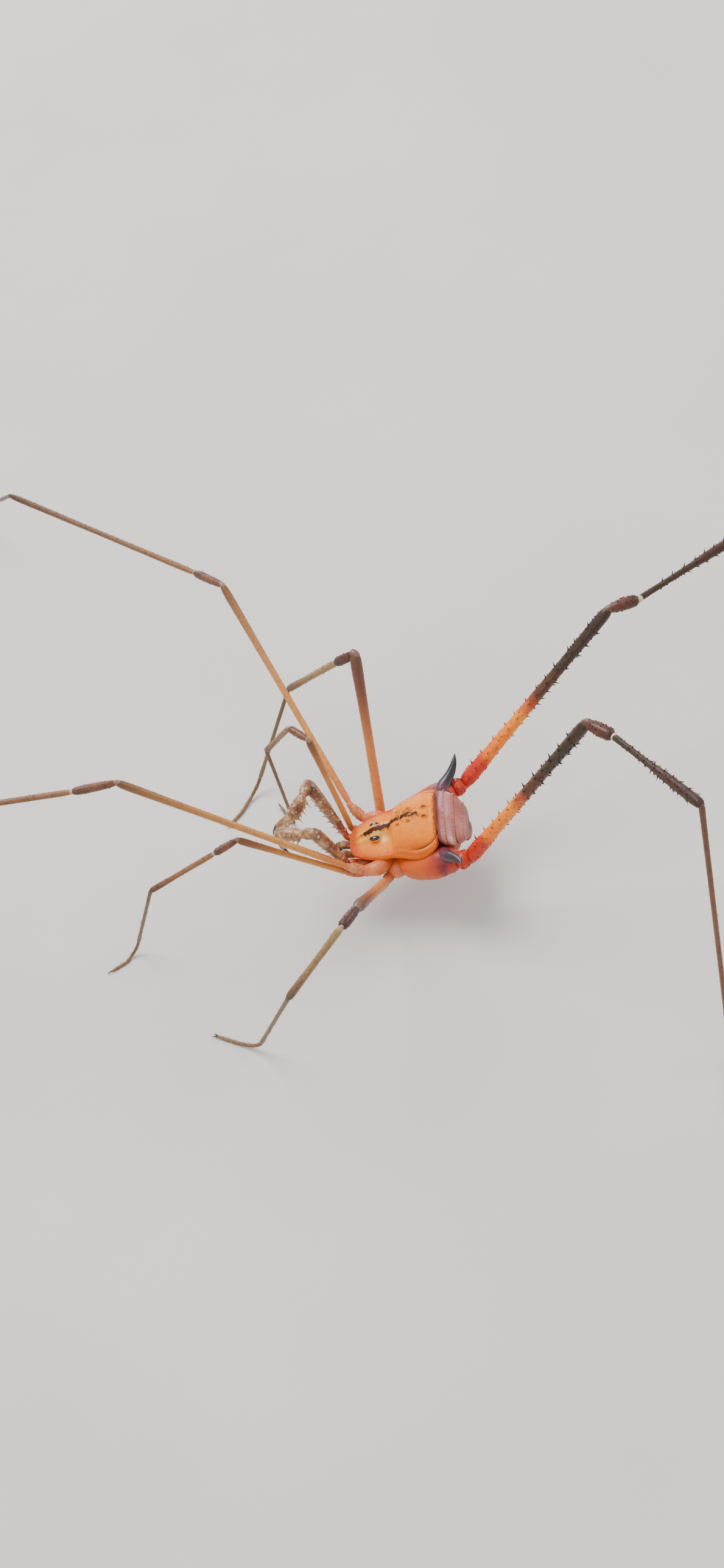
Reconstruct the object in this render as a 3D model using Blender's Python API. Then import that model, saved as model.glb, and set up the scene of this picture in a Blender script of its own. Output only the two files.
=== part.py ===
"""A long-legged harvestman in life size, standing on eight feet with its front legs reaching out.

It faces -Y, its left side is +X, and the floor is z = 0. Sizes below are millimetres and
angles are degrees. Each finished mesh is scaled to metres and moved so that the origin is
under the middle of the whole animal.

The body is modelled level, in its own frame, then tipped nose down and lifted to its height.
"""

import math
import random

import bmesh
import bpy
from mathutils import Matrix, Vector

MM = 0.001
GAP = 0.25  # clear space between neighbouring pieces
EYE_GAP = 0.08  # clear space between an eye and its socket
SEED = 7

# body
FRONT = -3.9
REAR = 3.5
BODY_HEIGHT = 7.5  # of the scutum's rear corners over the floor
NOSE_DOWN = 10
RIM = 0.4  # thickness of the scutum's edge
STEP_Y = -0.25  # where the abdominal part of the scutum rises behind the carapace
EYE_RADIUS = 0.3
EYE_PLACE = (0.56, -1.75, 0.52)  # of the left eye's middle; the right one is its mirror

# the scutum, by y from front to rear: half width, height of its edge, and heights of its
# midline over the edge
HALF_WIDTH = (
    (-3.9, 0.95), (-3.75, 1.25), (-3.3, 1.55), (-2.55, 1.88), (-1.5, 2.18), (-0.6, 2.27), (0.2, 2.52),
    (1.0, 2.88), (1.9, 3.1), (2.7, 2.96), (3.2, 2.62), (3.5, 2.15),
)
EDGE = ((-3.9, 0.0), (1.2, 0.0), (2.0, 0.1), (2.8, 0.36), (3.5, 0.72))  # its edge rises to the rear
CARAPACE = ((-3.9, 0.1), (-3.2, 0.2), (-2.2, 0.28), (-0.6, 0.34))
OCULARIUM = ((-3.8, 0.0), (-3.2, 0.16), (-2.6, 0.35), (-2.1, 0.54), (-1.7, 0.66), (-1.0, 0.66), (-0.5, 0.6))
OCULARIUM_HALF_WIDTH = 0.5
ABDOMEN = ((-0.6, 1.25), (0.0, 1.42), (0.5, 1.47), (1.3, 1.58), (2.2, 1.36), (2.9, 0.98), (3.5, 0.5))
AREA_GROOVES = ((0.95, 0.05), (1.95, 0.05), (2.8, 0.06))  # y and depth
TUBERCLES = ((0.59, 0.45, 0.13), (0.6, 1.38, 0.13), (0.46, 2.62, 0.18))  # x, y and radius

# behind the scutum's rear edge: distance, half width, top and bottom of the free plates
PLATES = (
    (0.0, 2.35, 1.1, -0.5), (0.55, 2.45, 0.78, -0.92), (1.15, 2.2, 0.2, -1.3), (1.75, 1.5, -0.75, -1.48),
)
# the trunk under the scutum: y, half width, height of its middle, half height
TRUNK = (
    (-3.4, 1.1, -1.3, 0.5), (-2.6, 1.3, -1.35, 0.6), (-1.0, 1.8, -1.5, 0.78), (0.5, 2.1, -1.6, 0.9),
    (2.0, 2.3, -1.65, 0.95), (3.2, 2.2, -1.75, 0.9), (3.9, 1.9, -1.9, 0.6), (4.2, 1.4, -2.05, 0.35),
)

# legs: lengths of femur, patella, tibia, metatarsus and tarsus
LENGTHS = {
    1: (9.9, 2.0, 6.1, 8.9, 3.2),
    2: (20.3, 3.25, 21.2, 22.4, 8.5),
    3: (13.5, 2.25, 7.55, 9.6, 4.5),
    4: (17.8, 2.35, 11.0, 22.5, 5.0),
}
# largest radii of trochanter, femur, patella, tibia and metatarsus
RADII = {
    1: (0.34, 0.28, 0.32, 0.28, 0.27),
    2: (0.40, 0.32, 0.37, 0.29, 0.27),
    3: (0.40, 0.43, 0.40, 0.29, 0.27),
    4: (0.7, 0.50, 0.47, 0.39, 0.28),
}
# coxae in the body frame: a path from root to apex, and the radius at each of its points
COXAE = {
    1: (((0.9, -2.2, -1.45), (1.4, -2.9, -1.6), (1.9, -3.5, -1.65)), (0.6, 0.56, 0.42)),
    2: (((1.2, -1.1, -1.2), (2.35, -1.95, -0.8), (2.45, -3.0, -0.7)), (0.6, 0.63, 0.46)),
    3: (((1.3, -0.3, -1.75), (2.1, -0.75, -1.8), (2.35, -1.5, -2.0)), (0.7, 0.76, 0.46)),
    4: (((1.2, -0.2, -1.7), (2.4, 0.6, -1.6), (2.95, 2.1, -1.35), (3.1, 3.2, -1.1), (3.4, 4.15, -1.1)),
        (0.8, 1.0, 1.12, 1.1, 0.84)),
}
# where each trochanter ends and the femur starts, in the body frame
HIPS = {
    ("left", 1): (2.05, -4.5, -0.95),
    ("right", 1): (-2.05, -4.15, -0.75),
    ("left", 2): (2.15, -4.2, -0.1),
    ("right", 2): (-3.35, -3.75, 0.25),
    ("left", 3): (3.2, -1.8, -1.7),
    ("right", 3): (-3.1, -2.0, -1.8),
    ("left", 4): (3.25, 5.2, -1.3),
    ("right", 4): (-3.9, 5.05, -1.3),
}

# stance: heading and climb of femur, patella and tibia, then headings of metatarsus and tarsus.
# A heading of 0 points sideways, away from the body, and 90 points backward.
STANCE = {
    ("left", 1): ((-84.8, 44.1), (-63.6, -2.6), (-81.1, -22.5), -111.2, -60),
    ("right", 1): ((-42.6, 79.9), (-47.4, 2.8), (-53.1, -52.8), -42.1, -28),
    ("left", 2): ((-88.1, 46.2), (-80.4, 6.6), (-95.0, -6.1), -95, -95),
    ("right", 2): ((-26.7, 31.2), (-47.7, -6.5), (-51.5, -2.0), -35.4, -35.2),
    ("left", 3): ((-1.5, 47.3), (-31.6, 10.3), (-70.7, -44.3), -117.1, -117.1),
    ("right", 3): ((3.7, 58.3), (-72.1, -35.1), (-62.7, -42.4), -111.5, -140),
    ("left", 4): ((88.2, 52.7), (48.7, -0.1), (30.7, 14.8), -8.4, -8.7),
    ("right", 4): ((63.7, 34.5), (73.2, -4.4), (58.3, -1.3), 58.1, 58.1),
}
ANKLE_HEIGHT = 1.5
TOE_RADIUS = 0.24
TOE_FLAT = 1.3  # length of the foot's flat
LEG_SIDES = 8

# places along a segment, as a fraction of its length, with the radius there
TROCHANTER_SHAPE = ((0, 0.72), (0.35, 1.0), (0.7, 1.0), (1, 0.72))
FEMUR_SHAPE = ((0, 0.72), (0.06, 0.9), (0.35, 0.84), (0.7, 0.9), (0.92, 1.05), (1, 0.8))
REAR_FEMUR_SHAPE = (
    (0, 0.96), (0.04, 1.2), (0.1, 1.16), (0.2, 1.0), (0.45, 0.88), (0.7, 0.82), (0.92, 0.92), (1, 0.72),
)
PATELLA_SHAPE = ((0, 0.74), (0.3, 0.96), (0.68, 1.04), (1, 0.72))
TIBIA_SHAPE = ((0, 0.9), (0.07, 0.98), (0.5, 0.92), (0.92, 1.04), (1, 0.84))
CLUB_TIBIA_SHAPE = ((0, 0.62), (0.1, 0.66), (0.45, 0.68), (0.6, 0.92), (0.93, 1.04), (1, 0.7))
METATARSUS_SHAPE = ((0, 0.92), (0.05, 1.0), (0.5, 0.98), (0.97, 0.98), (1, 0.9))

# spines of leg IV: rows by angle around the segment, count, first and last place, length
FEMUR_SPINES = (((58, 122), 9, 0.12, 0.94, 0.42), ((-20, 200), 5, 0.55, 0.92, 0.38))
TIBIA_SPINES = (((60, 120), 6, 0.3, 0.93, 0.42), ((-10, 190), 4, 0.52, 0.9, 0.34))
APOPHYSIS_BASE = (3.4, 3.75, -0.25)
APOPHYSIS = (1.8, 1.2, 1.35)  # from its base to its tip

# a pedipalp's arm and hand: which joint, the fraction of the way to the next, and the radius
PALP_ARM = (
    (0, 0, 0.3), (0, 0.6, 0.36), (1, 0, 0.32), (1, 0.2, 0.34), (1, 0.55, 0.45), (1, 0.9, 0.5),
    (2, 0.1, 0.42), (2, 0.55, 0.48),
)
PALP_HAND = (
    (3, 0.35, 0.48), (3, 0.75, 0.5), (4, 0, 0.4), (4, 0.3, 0.36), (4, 0.8, 0.27), (5, 0.15, 0.15),
    (5, 1, 0.03),
)
# each pedipalp's joints in the body frame, from trochanter to claw tip
PALP_JOINTS = {
    "left": ((1.08, -3.67, -1.3), (1.28, -4.5, -0.75), (1.5, -5.26, 4.17), (1.0, -6.35, 3.6),
             (0.25, -8.4, 3.7), (0.7, -8.6, 2.3), (0.75, -8.15, 1.4)),
    "right": ((-1.08, -3.67, -1.3), (-1.28, -4.5, -0.75), (-3.8, -5.95, 3.65), (-2.5, -6.2, 4.0),
              (-1.4, -7.55, 3.15), (-1.0, -8.95, 2.9), (-0.85, -9.35, 2.1)),
}

# a chelicera's path in the body frame, with its radius
CHELICERA = (
    (0.42, -3.65, -1.05, 0.27), (0.44, -4.15, -0.95, 0.3), (0.46, -4.7, -0.6, 0.34),
    (0.48, -5.15, -0.6, 0.37), (0.48, -5.4, -1.05, 0.37), (0.46, -5.42, -1.7, 0.26),
    (0.38, -5.3, -2.3, 0.05),
)

COLOURS = {
    "scutum": ((0.78, 0.26, 0.05), 0.28),
    "eye": ((0.012, 0.01, 0.01), 0.08),
    "tergite": ((0.30, 0.17, 0.19), 0.35),
    "venter": ((0.55, 0.16, 0.05), 0.4),
    "trochanter": ((0.62, 0.2, 0.14), 0.35),
    "red": ((0.6, 0.1, 0.04), 0.3),
    "femur": ((0.62, 0.28, 0.07), 0.38),
    "dark": ((0.1, 0.045, 0.035), 0.4),
    "tibia": ((0.2, 0.13, 0.07), 0.5),
    "tarsus": ((0.13, 0.085, 0.05), 0.55),
    "palp": ((0.24, 0.15, 0.11), 0.38),
}


def curve_at(knots, y):
    """Value at y of a smooth curve through the knots, flat beyond them."""
    if y <= knots[0][0]:
        return knots[0][1]
    if y >= knots[-1][0]:
        return knots[-1][1]
    i = max(k for k in range(len(knots) - 1) if knots[k][0] <= y)
    before = knots[max(i - 1, 0)]
    a, b = knots[i], knots[i + 1]
    after = knots[min(i + 2, len(knots) - 1)]
    span = b[0] - a[0]
    slope_a = (b[1] - before[1]) / (b[0] - before[0]) * span
    slope_b = (after[1] - a[1]) / (after[0] - a[0]) * span
    t = (y - a[0]) / span
    return (
        (2 * t**3 - 3 * t**2 + 1) * a[1]
        + (t**3 - 2 * t**2 + t) * slope_a
        + (3 * t**2 - 2 * t**3) * b[1]
        + (t**3 - t**2) * slope_b
    )


def body_frame():
    """The body's own frame: level in part space, nose down and off the floor in the world."""
    hinge = Matrix.Translation((0, REAR, BODY_HEIGHT))
    return hinge @ Matrix.Rotation(math.radians(NOSE_DOWN), 4, "X") @ Matrix.Translation((0, -REAR, 0))


BODY = body_frame()


def mirrored(point, sign):
    return Vector((sign * point[0], point[1], point[2]))


def direction(sign, heading, climb):
    h, c = math.radians(heading), math.radians(climb)
    return Vector((sign * math.cos(h) * math.cos(c), math.sin(h) * math.cos(c), math.sin(c)))


def across(along):
    """A level unit vector square to a direction, or for an upright one, one near +X."""
    level = Vector((-along.y, along.x, 0))
    if level.length > 0.05:
        return level.normalized()
    return (Vector((1, 0, 0)) - along.x * along).normalized()


def tube(points, radii, sides, start_cut=None, end_cut=None, side=None):
    """A closed mesh of rings along a path. The cuts are the normals of its two end faces."""
    bm = bmesh.new()
    last = len(points) - 1
    rings = []
    for i, (centre, radius) in enumerate(zip(points, radii)):
        along = (points[min(i + 1, last)] - points[max(i - 1, 0)]).normalized()
        cut = start_cut if i == 0 else end_cut if i == last else None
        cut = cut or along
        x_axis = side or across(along)
        x_axis = (x_axis - x_axis.dot(along) * along).normalized()
        y_axis = along.cross(x_axis)
        ring = []
        for k in range(sides):
            angle = 2 * math.pi * (k + 0.5) / sides
            offset = radius * (math.cos(angle) * x_axis + math.sin(angle) * y_axis)
            offset -= along * offset.dot(cut) / along.dot(cut)
            ring.append(bm.verts.new(centre + offset))
        rings.append(ring)
    for ring, following in zip(rings, rings[1:]):
        for k in range(sides):
            bm.faces.new((ring[k - 1], ring[k], following[k], following[k - 1]))
    bm.faces.new(rings[0][::-1])
    bm.faces.new(rings[-1])
    bmesh.ops.recalc_face_normals(bm, faces=bm.faces)
    return bm


def segment(start, end, shape, radius, start_cut, end_cut):
    """A straight leg segment whose ends keep half a gap to the joints at start and end."""
    along = (end - start).normalized()
    first = start + along * GAP / 2
    length = (end - start).length - GAP
    points = [first + along * length * place for place, _ in shape]
    radii = [radius * scale for _, scale in shape]
    return tube(points, radii, LEG_SIDES, start_cut, end_cut)


def bisector(a, b):
    return (a.normalized() + b.normalized()).normalized()


def cone(base, tip, radius, sides=5, tip_radius=0.02):
    """A spine from base to tip, with its root sunk by its own radius."""
    along = (tip - base).normalized()
    root = base - along * radius
    length = (tip - root).length
    place = Matrix.Translation((root + tip) / 2) @ along.to_track_quat("Z", "Y").to_matrix().to_4x4()
    bm = bmesh.new()
    bmesh.ops.create_cone(
        bm, cap_ends=True, segments=sides, radius1=radius, radius2=tip_radius,
        depth=length, matrix=place,
    )
    return bm


def ball(centre, radii, rings=8, turn=Matrix()):
    place = Matrix.Translation(centre) @ turn @ Matrix.Diagonal((*radii, 1))
    bm = bmesh.new()
    bmesh.ops.create_uvsphere(bm, u_segments=2 * rings, v_segments=rings, radius=1, matrix=place)
    return bm


def mesh_object(name, bm, collection):
    mesh = bpy.data.meshes.new(name)
    bm.to_mesh(mesh)
    bm.free()
    obj = bpy.data.objects.new(name, mesh)
    collection.objects.link(obj)
    return obj


def combined(core, others, operation):
    """The core joined with, or cut by, a collection of closed meshes."""
    tools = bpy.data.collections.new("Tools")
    bpy.context.scene.collection.children.link(tools)
    made = [mesh_object("Tool", bm, tools) for bm in others]
    base = mesh_object("Core", core, bpy.context.scene.collection)
    modifier = base.modifiers.new("Combine", "BOOLEAN")
    modifier.operation = operation
    modifier.operand_type = "COLLECTION"
    modifier.collection = tools
    modifier.solver = "MANIFOLD"  # the exact one leaves a hand touching itself along an edge
    evaluated = base.evaluated_get(bpy.context.evaluated_depsgraph_get())
    result = bmesh.new()
    result.from_mesh(evaluated.to_mesh())
    evaluated.to_mesh_clear()
    for obj in (*made, base):
        bpy.data.meshes.remove(obj.data)
    bpy.data.collections.remove(tools)
    keep_largest(result)
    return result


def keep_largest(bm):
    """Leaves only the closed surface with the most vertices."""
    todo = set(bm.verts)
    islands = []
    while todo:
        island = set()
        edge = {todo.pop()}
        while edge:
            vert = edge.pop()
            island.add(vert)
            edge |= {e.other_vert(vert) for e in vert.link_edges} - island
        todo -= island
        islands.append(island)
    islands.sort(key=len)
    for island in islands[:-1]:
        bmesh.ops.delete(bm, geom=list(island), context="VERTS")


def material(name):
    found = bpy.data.materials.get(name)
    if found:
        return found
    made = bpy.data.materials.new(name)
    made.use_nodes = True
    shader = made.node_tree.nodes["Principled BSDF"]
    colour, roughness = COLOURS[name]
    shader.inputs["Base Color"].default_value = (*colour, 1)
    shader.inputs["Roughness"].default_value = roughness
    shader.inputs["Metallic"].default_value = 0
    return made


def add_node(name, bm, finish, parts):
    """The finished piece, in millimetres until every piece is there to be placed."""
    obj = mesh_object(name, bm, parts)
    obj.data.materials.append(material(finish))
    obj.data.shade_smooth()
    obj.data.set_sharp_from_angle(angle=math.radians(50))


def scutum_height(x, y):
    """Height of the scutum's upper face in the body frame."""
    half = curve_at(HALF_WIDTH, y)
    u = min(1, abs(x) / half)
    behind = 1 / (1 + math.exp((STEP_Y - y) / 0.1))
    carapace = curve_at(CARAPACE, y) * (1 - u**2)
    carapace += curve_at(OCULARIUM, y) * math.exp(-((abs(x) / OCULARIUM_HALF_WIDTH) ** 3))
    abdomen = curve_at(ABDOMEN, y) * (1 - u**2.5)
    for place, depth in AREA_GROOVES:
        abdomen -= depth * (1 - u**4) * math.exp(-(((y - place) / 0.13) ** 2))
    abdomen -= 0.08 * math.exp(-(((u - 0.86) / 0.06) ** 2))
    return curve_at(EDGE, y) + carapace * (1 - behind) + abdomen * behind


def scutum_outline(y, grow=0.0):
    """Half width of the scutum at y, with its outline grown by the given distance."""
    inside = max(FRONT, min(REAR, y))
    beyond = abs(y - inside)
    return curve_at(HALF_WIDTH, inside) + math.sqrt(max(0.0, grow**2 - beyond**2))


def scutum_mesh():
    """The dorsal shield: rows of cross sections from front to rear, then tubercles and sockets."""
    bm = bmesh.new()
    rows = 44
    columns = 30
    rings = []
    for row in range(rows + 1):
        y = FRONT + (REAR - FRONT) * row / rows
        half = curve_at(HALF_WIDTH, y)
        edge = curve_at(EDGE, y)
        ring = []
        for column in range(columns + 1):
            s = 2 * column / columns - 1
            x = half * (0.5 * s + 0.5 * s**3)
            ring.append(bm.verts.new(BODY @ Vector((x, y, scutum_height(x, y)))))
        for x, z in ((0.995, -0.6 * RIM), (0.93, -RIM), (0.3, -RIM), (-0.3, -RIM), (-0.93, -RIM),
                     (-0.995, -0.6 * RIM)):
            ring.append(bm.verts.new(BODY @ Vector((x * half, y, edge + z))))
        rings.append(ring)
    for ring, following in zip(rings, rings[1:]):
        for k in range(len(ring)):
            bm.faces.new((ring[k - 1], ring[k], following[k], following[k - 1]))
    bm.faces.new(rings[0][::-1])
    bm.faces.new(rings[-1])
    bmesh.ops.triangulate(bm, faces=bm.faces)
    bmesh.ops.recalc_face_normals(bm, faces=bm.faces)
    bumps = []
    for x, y, radius in TUBERCLES:
        for sign in (1, -1):
            foot = Vector((sign * x, y, scutum_height(x, y)))
            tip = foot + Vector((0, 0, 1.1 * radius))
            bumps.append(cone(BODY @ foot, BODY @ tip, radius, 8, 0.4 * radius))
    raised = combined(bm, bumps, "UNION")
    sockets = [ball(BODY @ mirrored(EYE_PLACE, sign), [EYE_RADIUS + EYE_GAP] * 3, 7) for sign in (1, -1)]
    return combined(raised, sockets, "DIFFERENCE")


def scutum_clearance():
    """A block round the scutum, grown by the gap, that the underside is cut with."""
    bm = bmesh.new()
    rings = []
    steps = 24
    for step in range(steps + 1):
        y = FRONT - GAP + (REAR - FRONT + 2 * GAP) * (1 - math.cos(math.pi * step / steps)) / 2
        half = scutum_outline(y, GAP)
        floor = curve_at(EDGE, y) - RIM - GAP
        corners = ((-half, floor), (half, floor), (half, 3.0), (-half, 3.0))
        rings.append([bm.verts.new(BODY @ Vector((x, y, z))) for x, z in corners])
    for ring, following in zip(rings, rings[1:]):
        for k in range(4):
            bm.faces.new((ring[k - 1], ring[k], following[k], following[k - 1]))
    bm.faces.new(rings[0][::-1])
    bm.faces.new(rings[-1])
    bmesh.ops.recalc_face_normals(bm, faces=bm.faces)
    return bm


def rounded_rings(stations, sides, power):
    """A closed mesh of squarish oval sections square to Y: y, half width, middle and half height."""
    bm = bmesh.new()
    rings = []
    for y, half_width, middle, half_height in stations:
        ring = []
        for k in range(sides):
            angle = 2 * math.pi * k / sides
            c, s = math.cos(angle), math.sin(angle)
            x = half_width * math.copysign(abs(c) ** power, c)
            z = middle + half_height * math.copysign(abs(s) ** power, s)
            ring.append(bm.verts.new(BODY @ Vector((x, y, z))))
        rings.append(ring)
    for ring, following in zip(rings, rings[1:]):
        for k in range(sides):
            bm.faces.new((ring[k - 1], ring[k], following[k], following[k - 1]))
    bm.faces.new(rings[0][::-1])
    bm.faces.new(rings[-1])
    bmesh.ops.recalc_face_normals(bm, faces=bm.faces)
    return bm


def tergites_mesh():
    """Three free plates stepping down behind the scutum."""
    stations = []
    front = REAR + GAP
    for (y0, w0, top0, low0), (y1, w1, top1, low1) in zip(PLATES, PLATES[1:]):
        for t, swell in ((0.0, 0.0), (0.3, 0.07), (0.75, 0.07), (0.98, 0.0)):
            top = top0 + (top1 - top0) * t + swell
            low = low0 + (low1 - low0) * t
            width = w0 + (w1 - w0) * t + swell
            stations.append((front + y0 + (y1 - y0) * t, width, (top + low) / 2, (top - low) / 2))
    return rounded_rings(stations, 22, 0.8)


def venter_mesh():
    """The underside: the trunk with its ventral plates, the eight coxae and the two coxal spines."""
    trunk = []
    widths = [(y, w) for y, w, _, _ in TRUNK]
    middles = [(y, m) for y, _, m, _ in TRUNK]
    heights = [(y, h) for y, _, _, h in TRUNK]
    steps = 26
    for step in range(steps + 1):
        y = TRUNK[0][0] + (TRUNK[-1][0] - TRUNK[0][0]) * step / steps
        fold = 0.05 * abs(math.sin(math.pi * y / 0.85)) if y > 0.8 else 0.0
        trunk.append((y, curve_at(widths, y), curve_at(middles, y) - fold, curve_at(heights, y) + fold))
    pieces = [ball(BODY @ Vector((0, 0.1, -2.3)), (0.62, 0.7, 0.3), 6)]
    for sign in (1, -1):
        side = "left" if sign > 0 else "right"
        for pair, (path, radii) in COXAE.items():
            points = [BODY @ mirrored(p, sign) for p in path]
            hip = BODY @ Vector(HIPS[side, pair])
            apex_cut = bisector(points[-1] - points[-2], hip - points[-1])
            points[-1] = points[-1] - (points[-1] - points[-2]).normalized() * GAP / 2
            pieces.append(rounded_path(points, radii, apex_cut))
        base = BODY @ mirrored(APOPHYSIS_BASE, sign)
        reach = mirrored(APOPHYSIS, sign)
        pieces.append(apophysis(base, reach))
    whole = combined(rounded_rings(trunk, 20, 0.85), pieces, "UNION")
    return combined(whole, [scutum_clearance()], "DIFFERENCE")


def rounded_path(points, radii, end_cut):
    """A fat coxa: its path and radii are refined so that it swells smoothly."""
    places = [i / (len(points) - 1) for i in range(len(points))]
    fine_points = []
    fine_radii = []
    steps = 4 * (len(points) - 1)
    for step in range(steps + 1):
        t = step / steps
        fine_points.append(Vector([curve_at(list(zip(places, axis)), t) for axis in zip(*points)]))
        fine_radii.append(curve_at(list(zip(places, radii)), t))
    fine_radii[-1] *= 0.86
    return tube(fine_points, fine_radii, 14, end_cut=end_cut)


def apophysis(base, reach):
    """The large curved spine of coxa IV."""
    points = []
    radii = []
    for t, radius in ((-0.22, 0.54), (0, 0.5), (0.25, 0.4), (0.5, 0.31), (0.75, 0.2), (1, 0.06)):
        bend = Vector((0, 0.22, 0)) * math.sin(math.pi * max(t, 0))
        points.append(base + reach * t + bend)
        radii.append(radius)
    return tube(points, radii, 9)


def place_on(along, x_axis, angle):
    """The outward direction at an angle around a segment, 90 being its upper side."""
    up = along.cross(x_axis)
    if up.z < 0:
        up = -up
    turn = math.radians(angle)
    return (math.cos(turn) * x_axis + math.sin(turn) * up).normalized()


def with_spines(bm, start, end, shape, radius, rows, draw):
    """A segment with rows of spines that lean towards its far end."""
    along = (end - start).normalized()
    x_axis = across(along)
    spines = []
    for angles, count, first, last, length in rows:
        for angle in angles:
            outward = place_on(along, x_axis, angle)
            for k in range(count):
                place = first + (last - first) * (k + 0.3 * draw.random()) / (count - 1)
                scale = curve_at(shape, place)
                foot = start + (end - start) * place + outward * radius * scale * 0.86
                reach = length * draw.uniform(0.75, 1.15)
                tip = foot + outward * reach + along * reach * 0.45
                spines.append(cone(foot, tip, 0.13))
    return combined(bm, spines, "UNION")


def leg_joints(side, pair):
    """Hip, knee, patella end, tibia end, ankle and toe, in the world."""
    sign = 1 if side == "left" else -1
    femur, patella, tibia, ankle_heading, toe_heading = STANCE[side, pair]
    lengths = LENGTHS[pair]
    joints = [BODY @ Vector(HIPS[side, pair])]
    for (heading, climb), length in zip((femur, patella, tibia), lengths):
        joints.append(joints[-1] + length * direction(sign, heading, climb))
    drop = min(1, (joints[-1].z - ANKLE_HEIGHT) / lengths[3])
    joints.append(joints[-1] + lengths[3] * direction(sign, ankle_heading, -math.degrees(math.asin(drop))))
    ankle = joints[-1]
    reach = math.sqrt(lengths[4] ** 2 - ankle.z**2)
    toe = ankle + reach * direction(sign, toe_heading, 0)
    toe.z = TOE_RADIUS * math.cos(math.pi / LEG_SIDES)
    joints.append(toe)
    return joints


def tarsus_mesh(tibia_end, ankle, toe):
    """The foot: it bends down from the ankle, lies flat on the floor and ends in a claw."""
    down = (ankle - tibia_end).normalized()
    flat_way = Vector((toe.x - ankle.x, toe.y - ankle.y, 0)).normalized()
    heel = toe - flat_way * TOE_FLAT
    elbow = ankle + down * (ankle.z - toe.z) / max(-down.z, 0.3)
    start = ankle + down * GAP / 2
    points = []
    steps = 6
    for step in range(steps + 1):
        t = step / steps
        points.append((1 - t) ** 2 * start + 2 * t * (1 - t) * elbow + t * t * heel)
    points[-1] = heel
    points.append(toe)
    radii = [TOE_RADIUS] * len(points)
    claw = toe + flat_way * 0.55
    claw.z = toe.z * 0.75
    points.append(claw)
    radii.append(0.06)
    return tube(points, radii, LEG_SIDES, start_cut=down)


def add_leg(side, pair, parts, draw):
    """One leg's six segments, each cut square to the joint's bisector."""
    sign = 1 if side == "left" else -1
    name = f"leg{pair}_{side}_"
    radii = RADII[pair]
    coxa = BODY @ mirrored(COXAE[pair][0][-1], sign)
    coxa_root = BODY @ mirrored(COXAE[pair][0][-2], sign)
    joints = leg_joints(side, pair)
    bones = [coxa, *joints]
    ways = [(b - a).normalized() for a, b in zip(bones, bones[1:])]
    cuts = [bisector(coxa - coxa_root, ways[0])]
    cuts += [bisector(a, b) for a, b in zip(ways, ways[1:4])]
    cuts.append(bisector(ways[3], ways[4]))
    shapes = (TROCHANTER_SHAPE, FEMUR_SHAPE, PATELLA_SHAPE, TIBIA_SHAPE, METATARSUS_SHAPE)
    names = ("trochanter", "femur", "patella", "tibia", "metatarsus")
    finishes = ("trochanter", "femur", "dark", "tibia", "tarsus")
    spines = {"femur": FEMUR_SPINES, "tibia": TIBIA_SPINES}
    rear_shapes = {"femur": REAR_FEMUR_SHAPE, "tibia": CLUB_TIBIA_SHAPE}
    for k, (part, shape, finish) in enumerate(zip(names, shapes, finishes)):
        if pair == 4:
            shape = rear_shapes.get(part, shape)
        end_cut = cuts[k + 1] if k < 4 else ways[4]
        bm = segment(bones[k], bones[k + 1], shape, radii[k], cuts[k], end_cut)
        if pair == 4 and part in spines:
            bm = with_spines(bm, bones[k], bones[k + 1], shape, radii[k], spines[part], draw)
        if pair == 4 and part == "trochanter":
            finish = "red"
        add_node(name + part, bm, finish, parts)
    add_node(name + "tarsus", tarsus_mesh(joints[3], joints[4], joints[5]), "tarsus", parts)


def add_pedipalp(side, parts):
    """A raptorial palp: a long raised arm, then a hand with rows of spines and a claw."""
    sign = 1 if side == "left" else -1
    joints = [BODY @ Vector(p) for p in PALP_JOINTS[side]]
    arm_points = [joints[k].lerp(joints[k + 1], t) for k, t, _ in PALP_ARM]
    arm_radii = [radius for _, _, radius in PALP_ARM]
    fold = bisector(joints[3] - joints[2], joints[4] - joints[3])
    arm_points.append(joints[3] - fold * GAP / 2)
    arm_radii.append(0.26)
    teeth = []
    femur_way = (joints[2] - joints[1]).normalized()
    below = Vector((0, -1, -0.5)).normalized()
    for k in range(4):
        foot = joints[1].lerp(joints[2], 0.2 + 0.2 * k) + below * 0.3
        teeth.append(cone(foot, foot + below * 0.5 + femur_way * 0.1, 0.14))
    arm = combined(tube(arm_points, arm_radii, 10, end_cut=fold), teeth, "UNION")
    add_node(f"pedipalp_{side}_arm", arm, "palp", parts)
    hand_points = [joints[3] + fold * GAP / 2] + [joints[k].lerp(joints[k + 1], t) for k, t, _ in PALP_HAND]
    hand_radii = [0.26] + [radius for _, _, radius in PALP_HAND]
    spines = []
    for k, places in ((3, (0.3, 0.55, 0.8)), (4, (0.2, 0.5, 0.8))):
        way = (joints[k + 1] - joints[k]).normalized()
        inward = Vector((0, 0.45, -1)) if k == 3 else Vector((0, 1, 0.1))
        inward = (inward - inward.dot(way) * way).normalized()
        for lean in (1, -1):
            outward = (inward + lean * 0.9 * sign * across(way)).normalized()
            for t in places:
                foot = joints[k].lerp(joints[k + 1], t) + outward * 0.3
                spines.append(cone(foot, foot + outward * 0.8 + way * 0.15, 0.14))
    hand = combined(tube(hand_points, hand_radii, 10, fold), spines, "UNION")
    add_node(f"pedipalp_{side}_hand", hand, "palp", parts)


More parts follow.
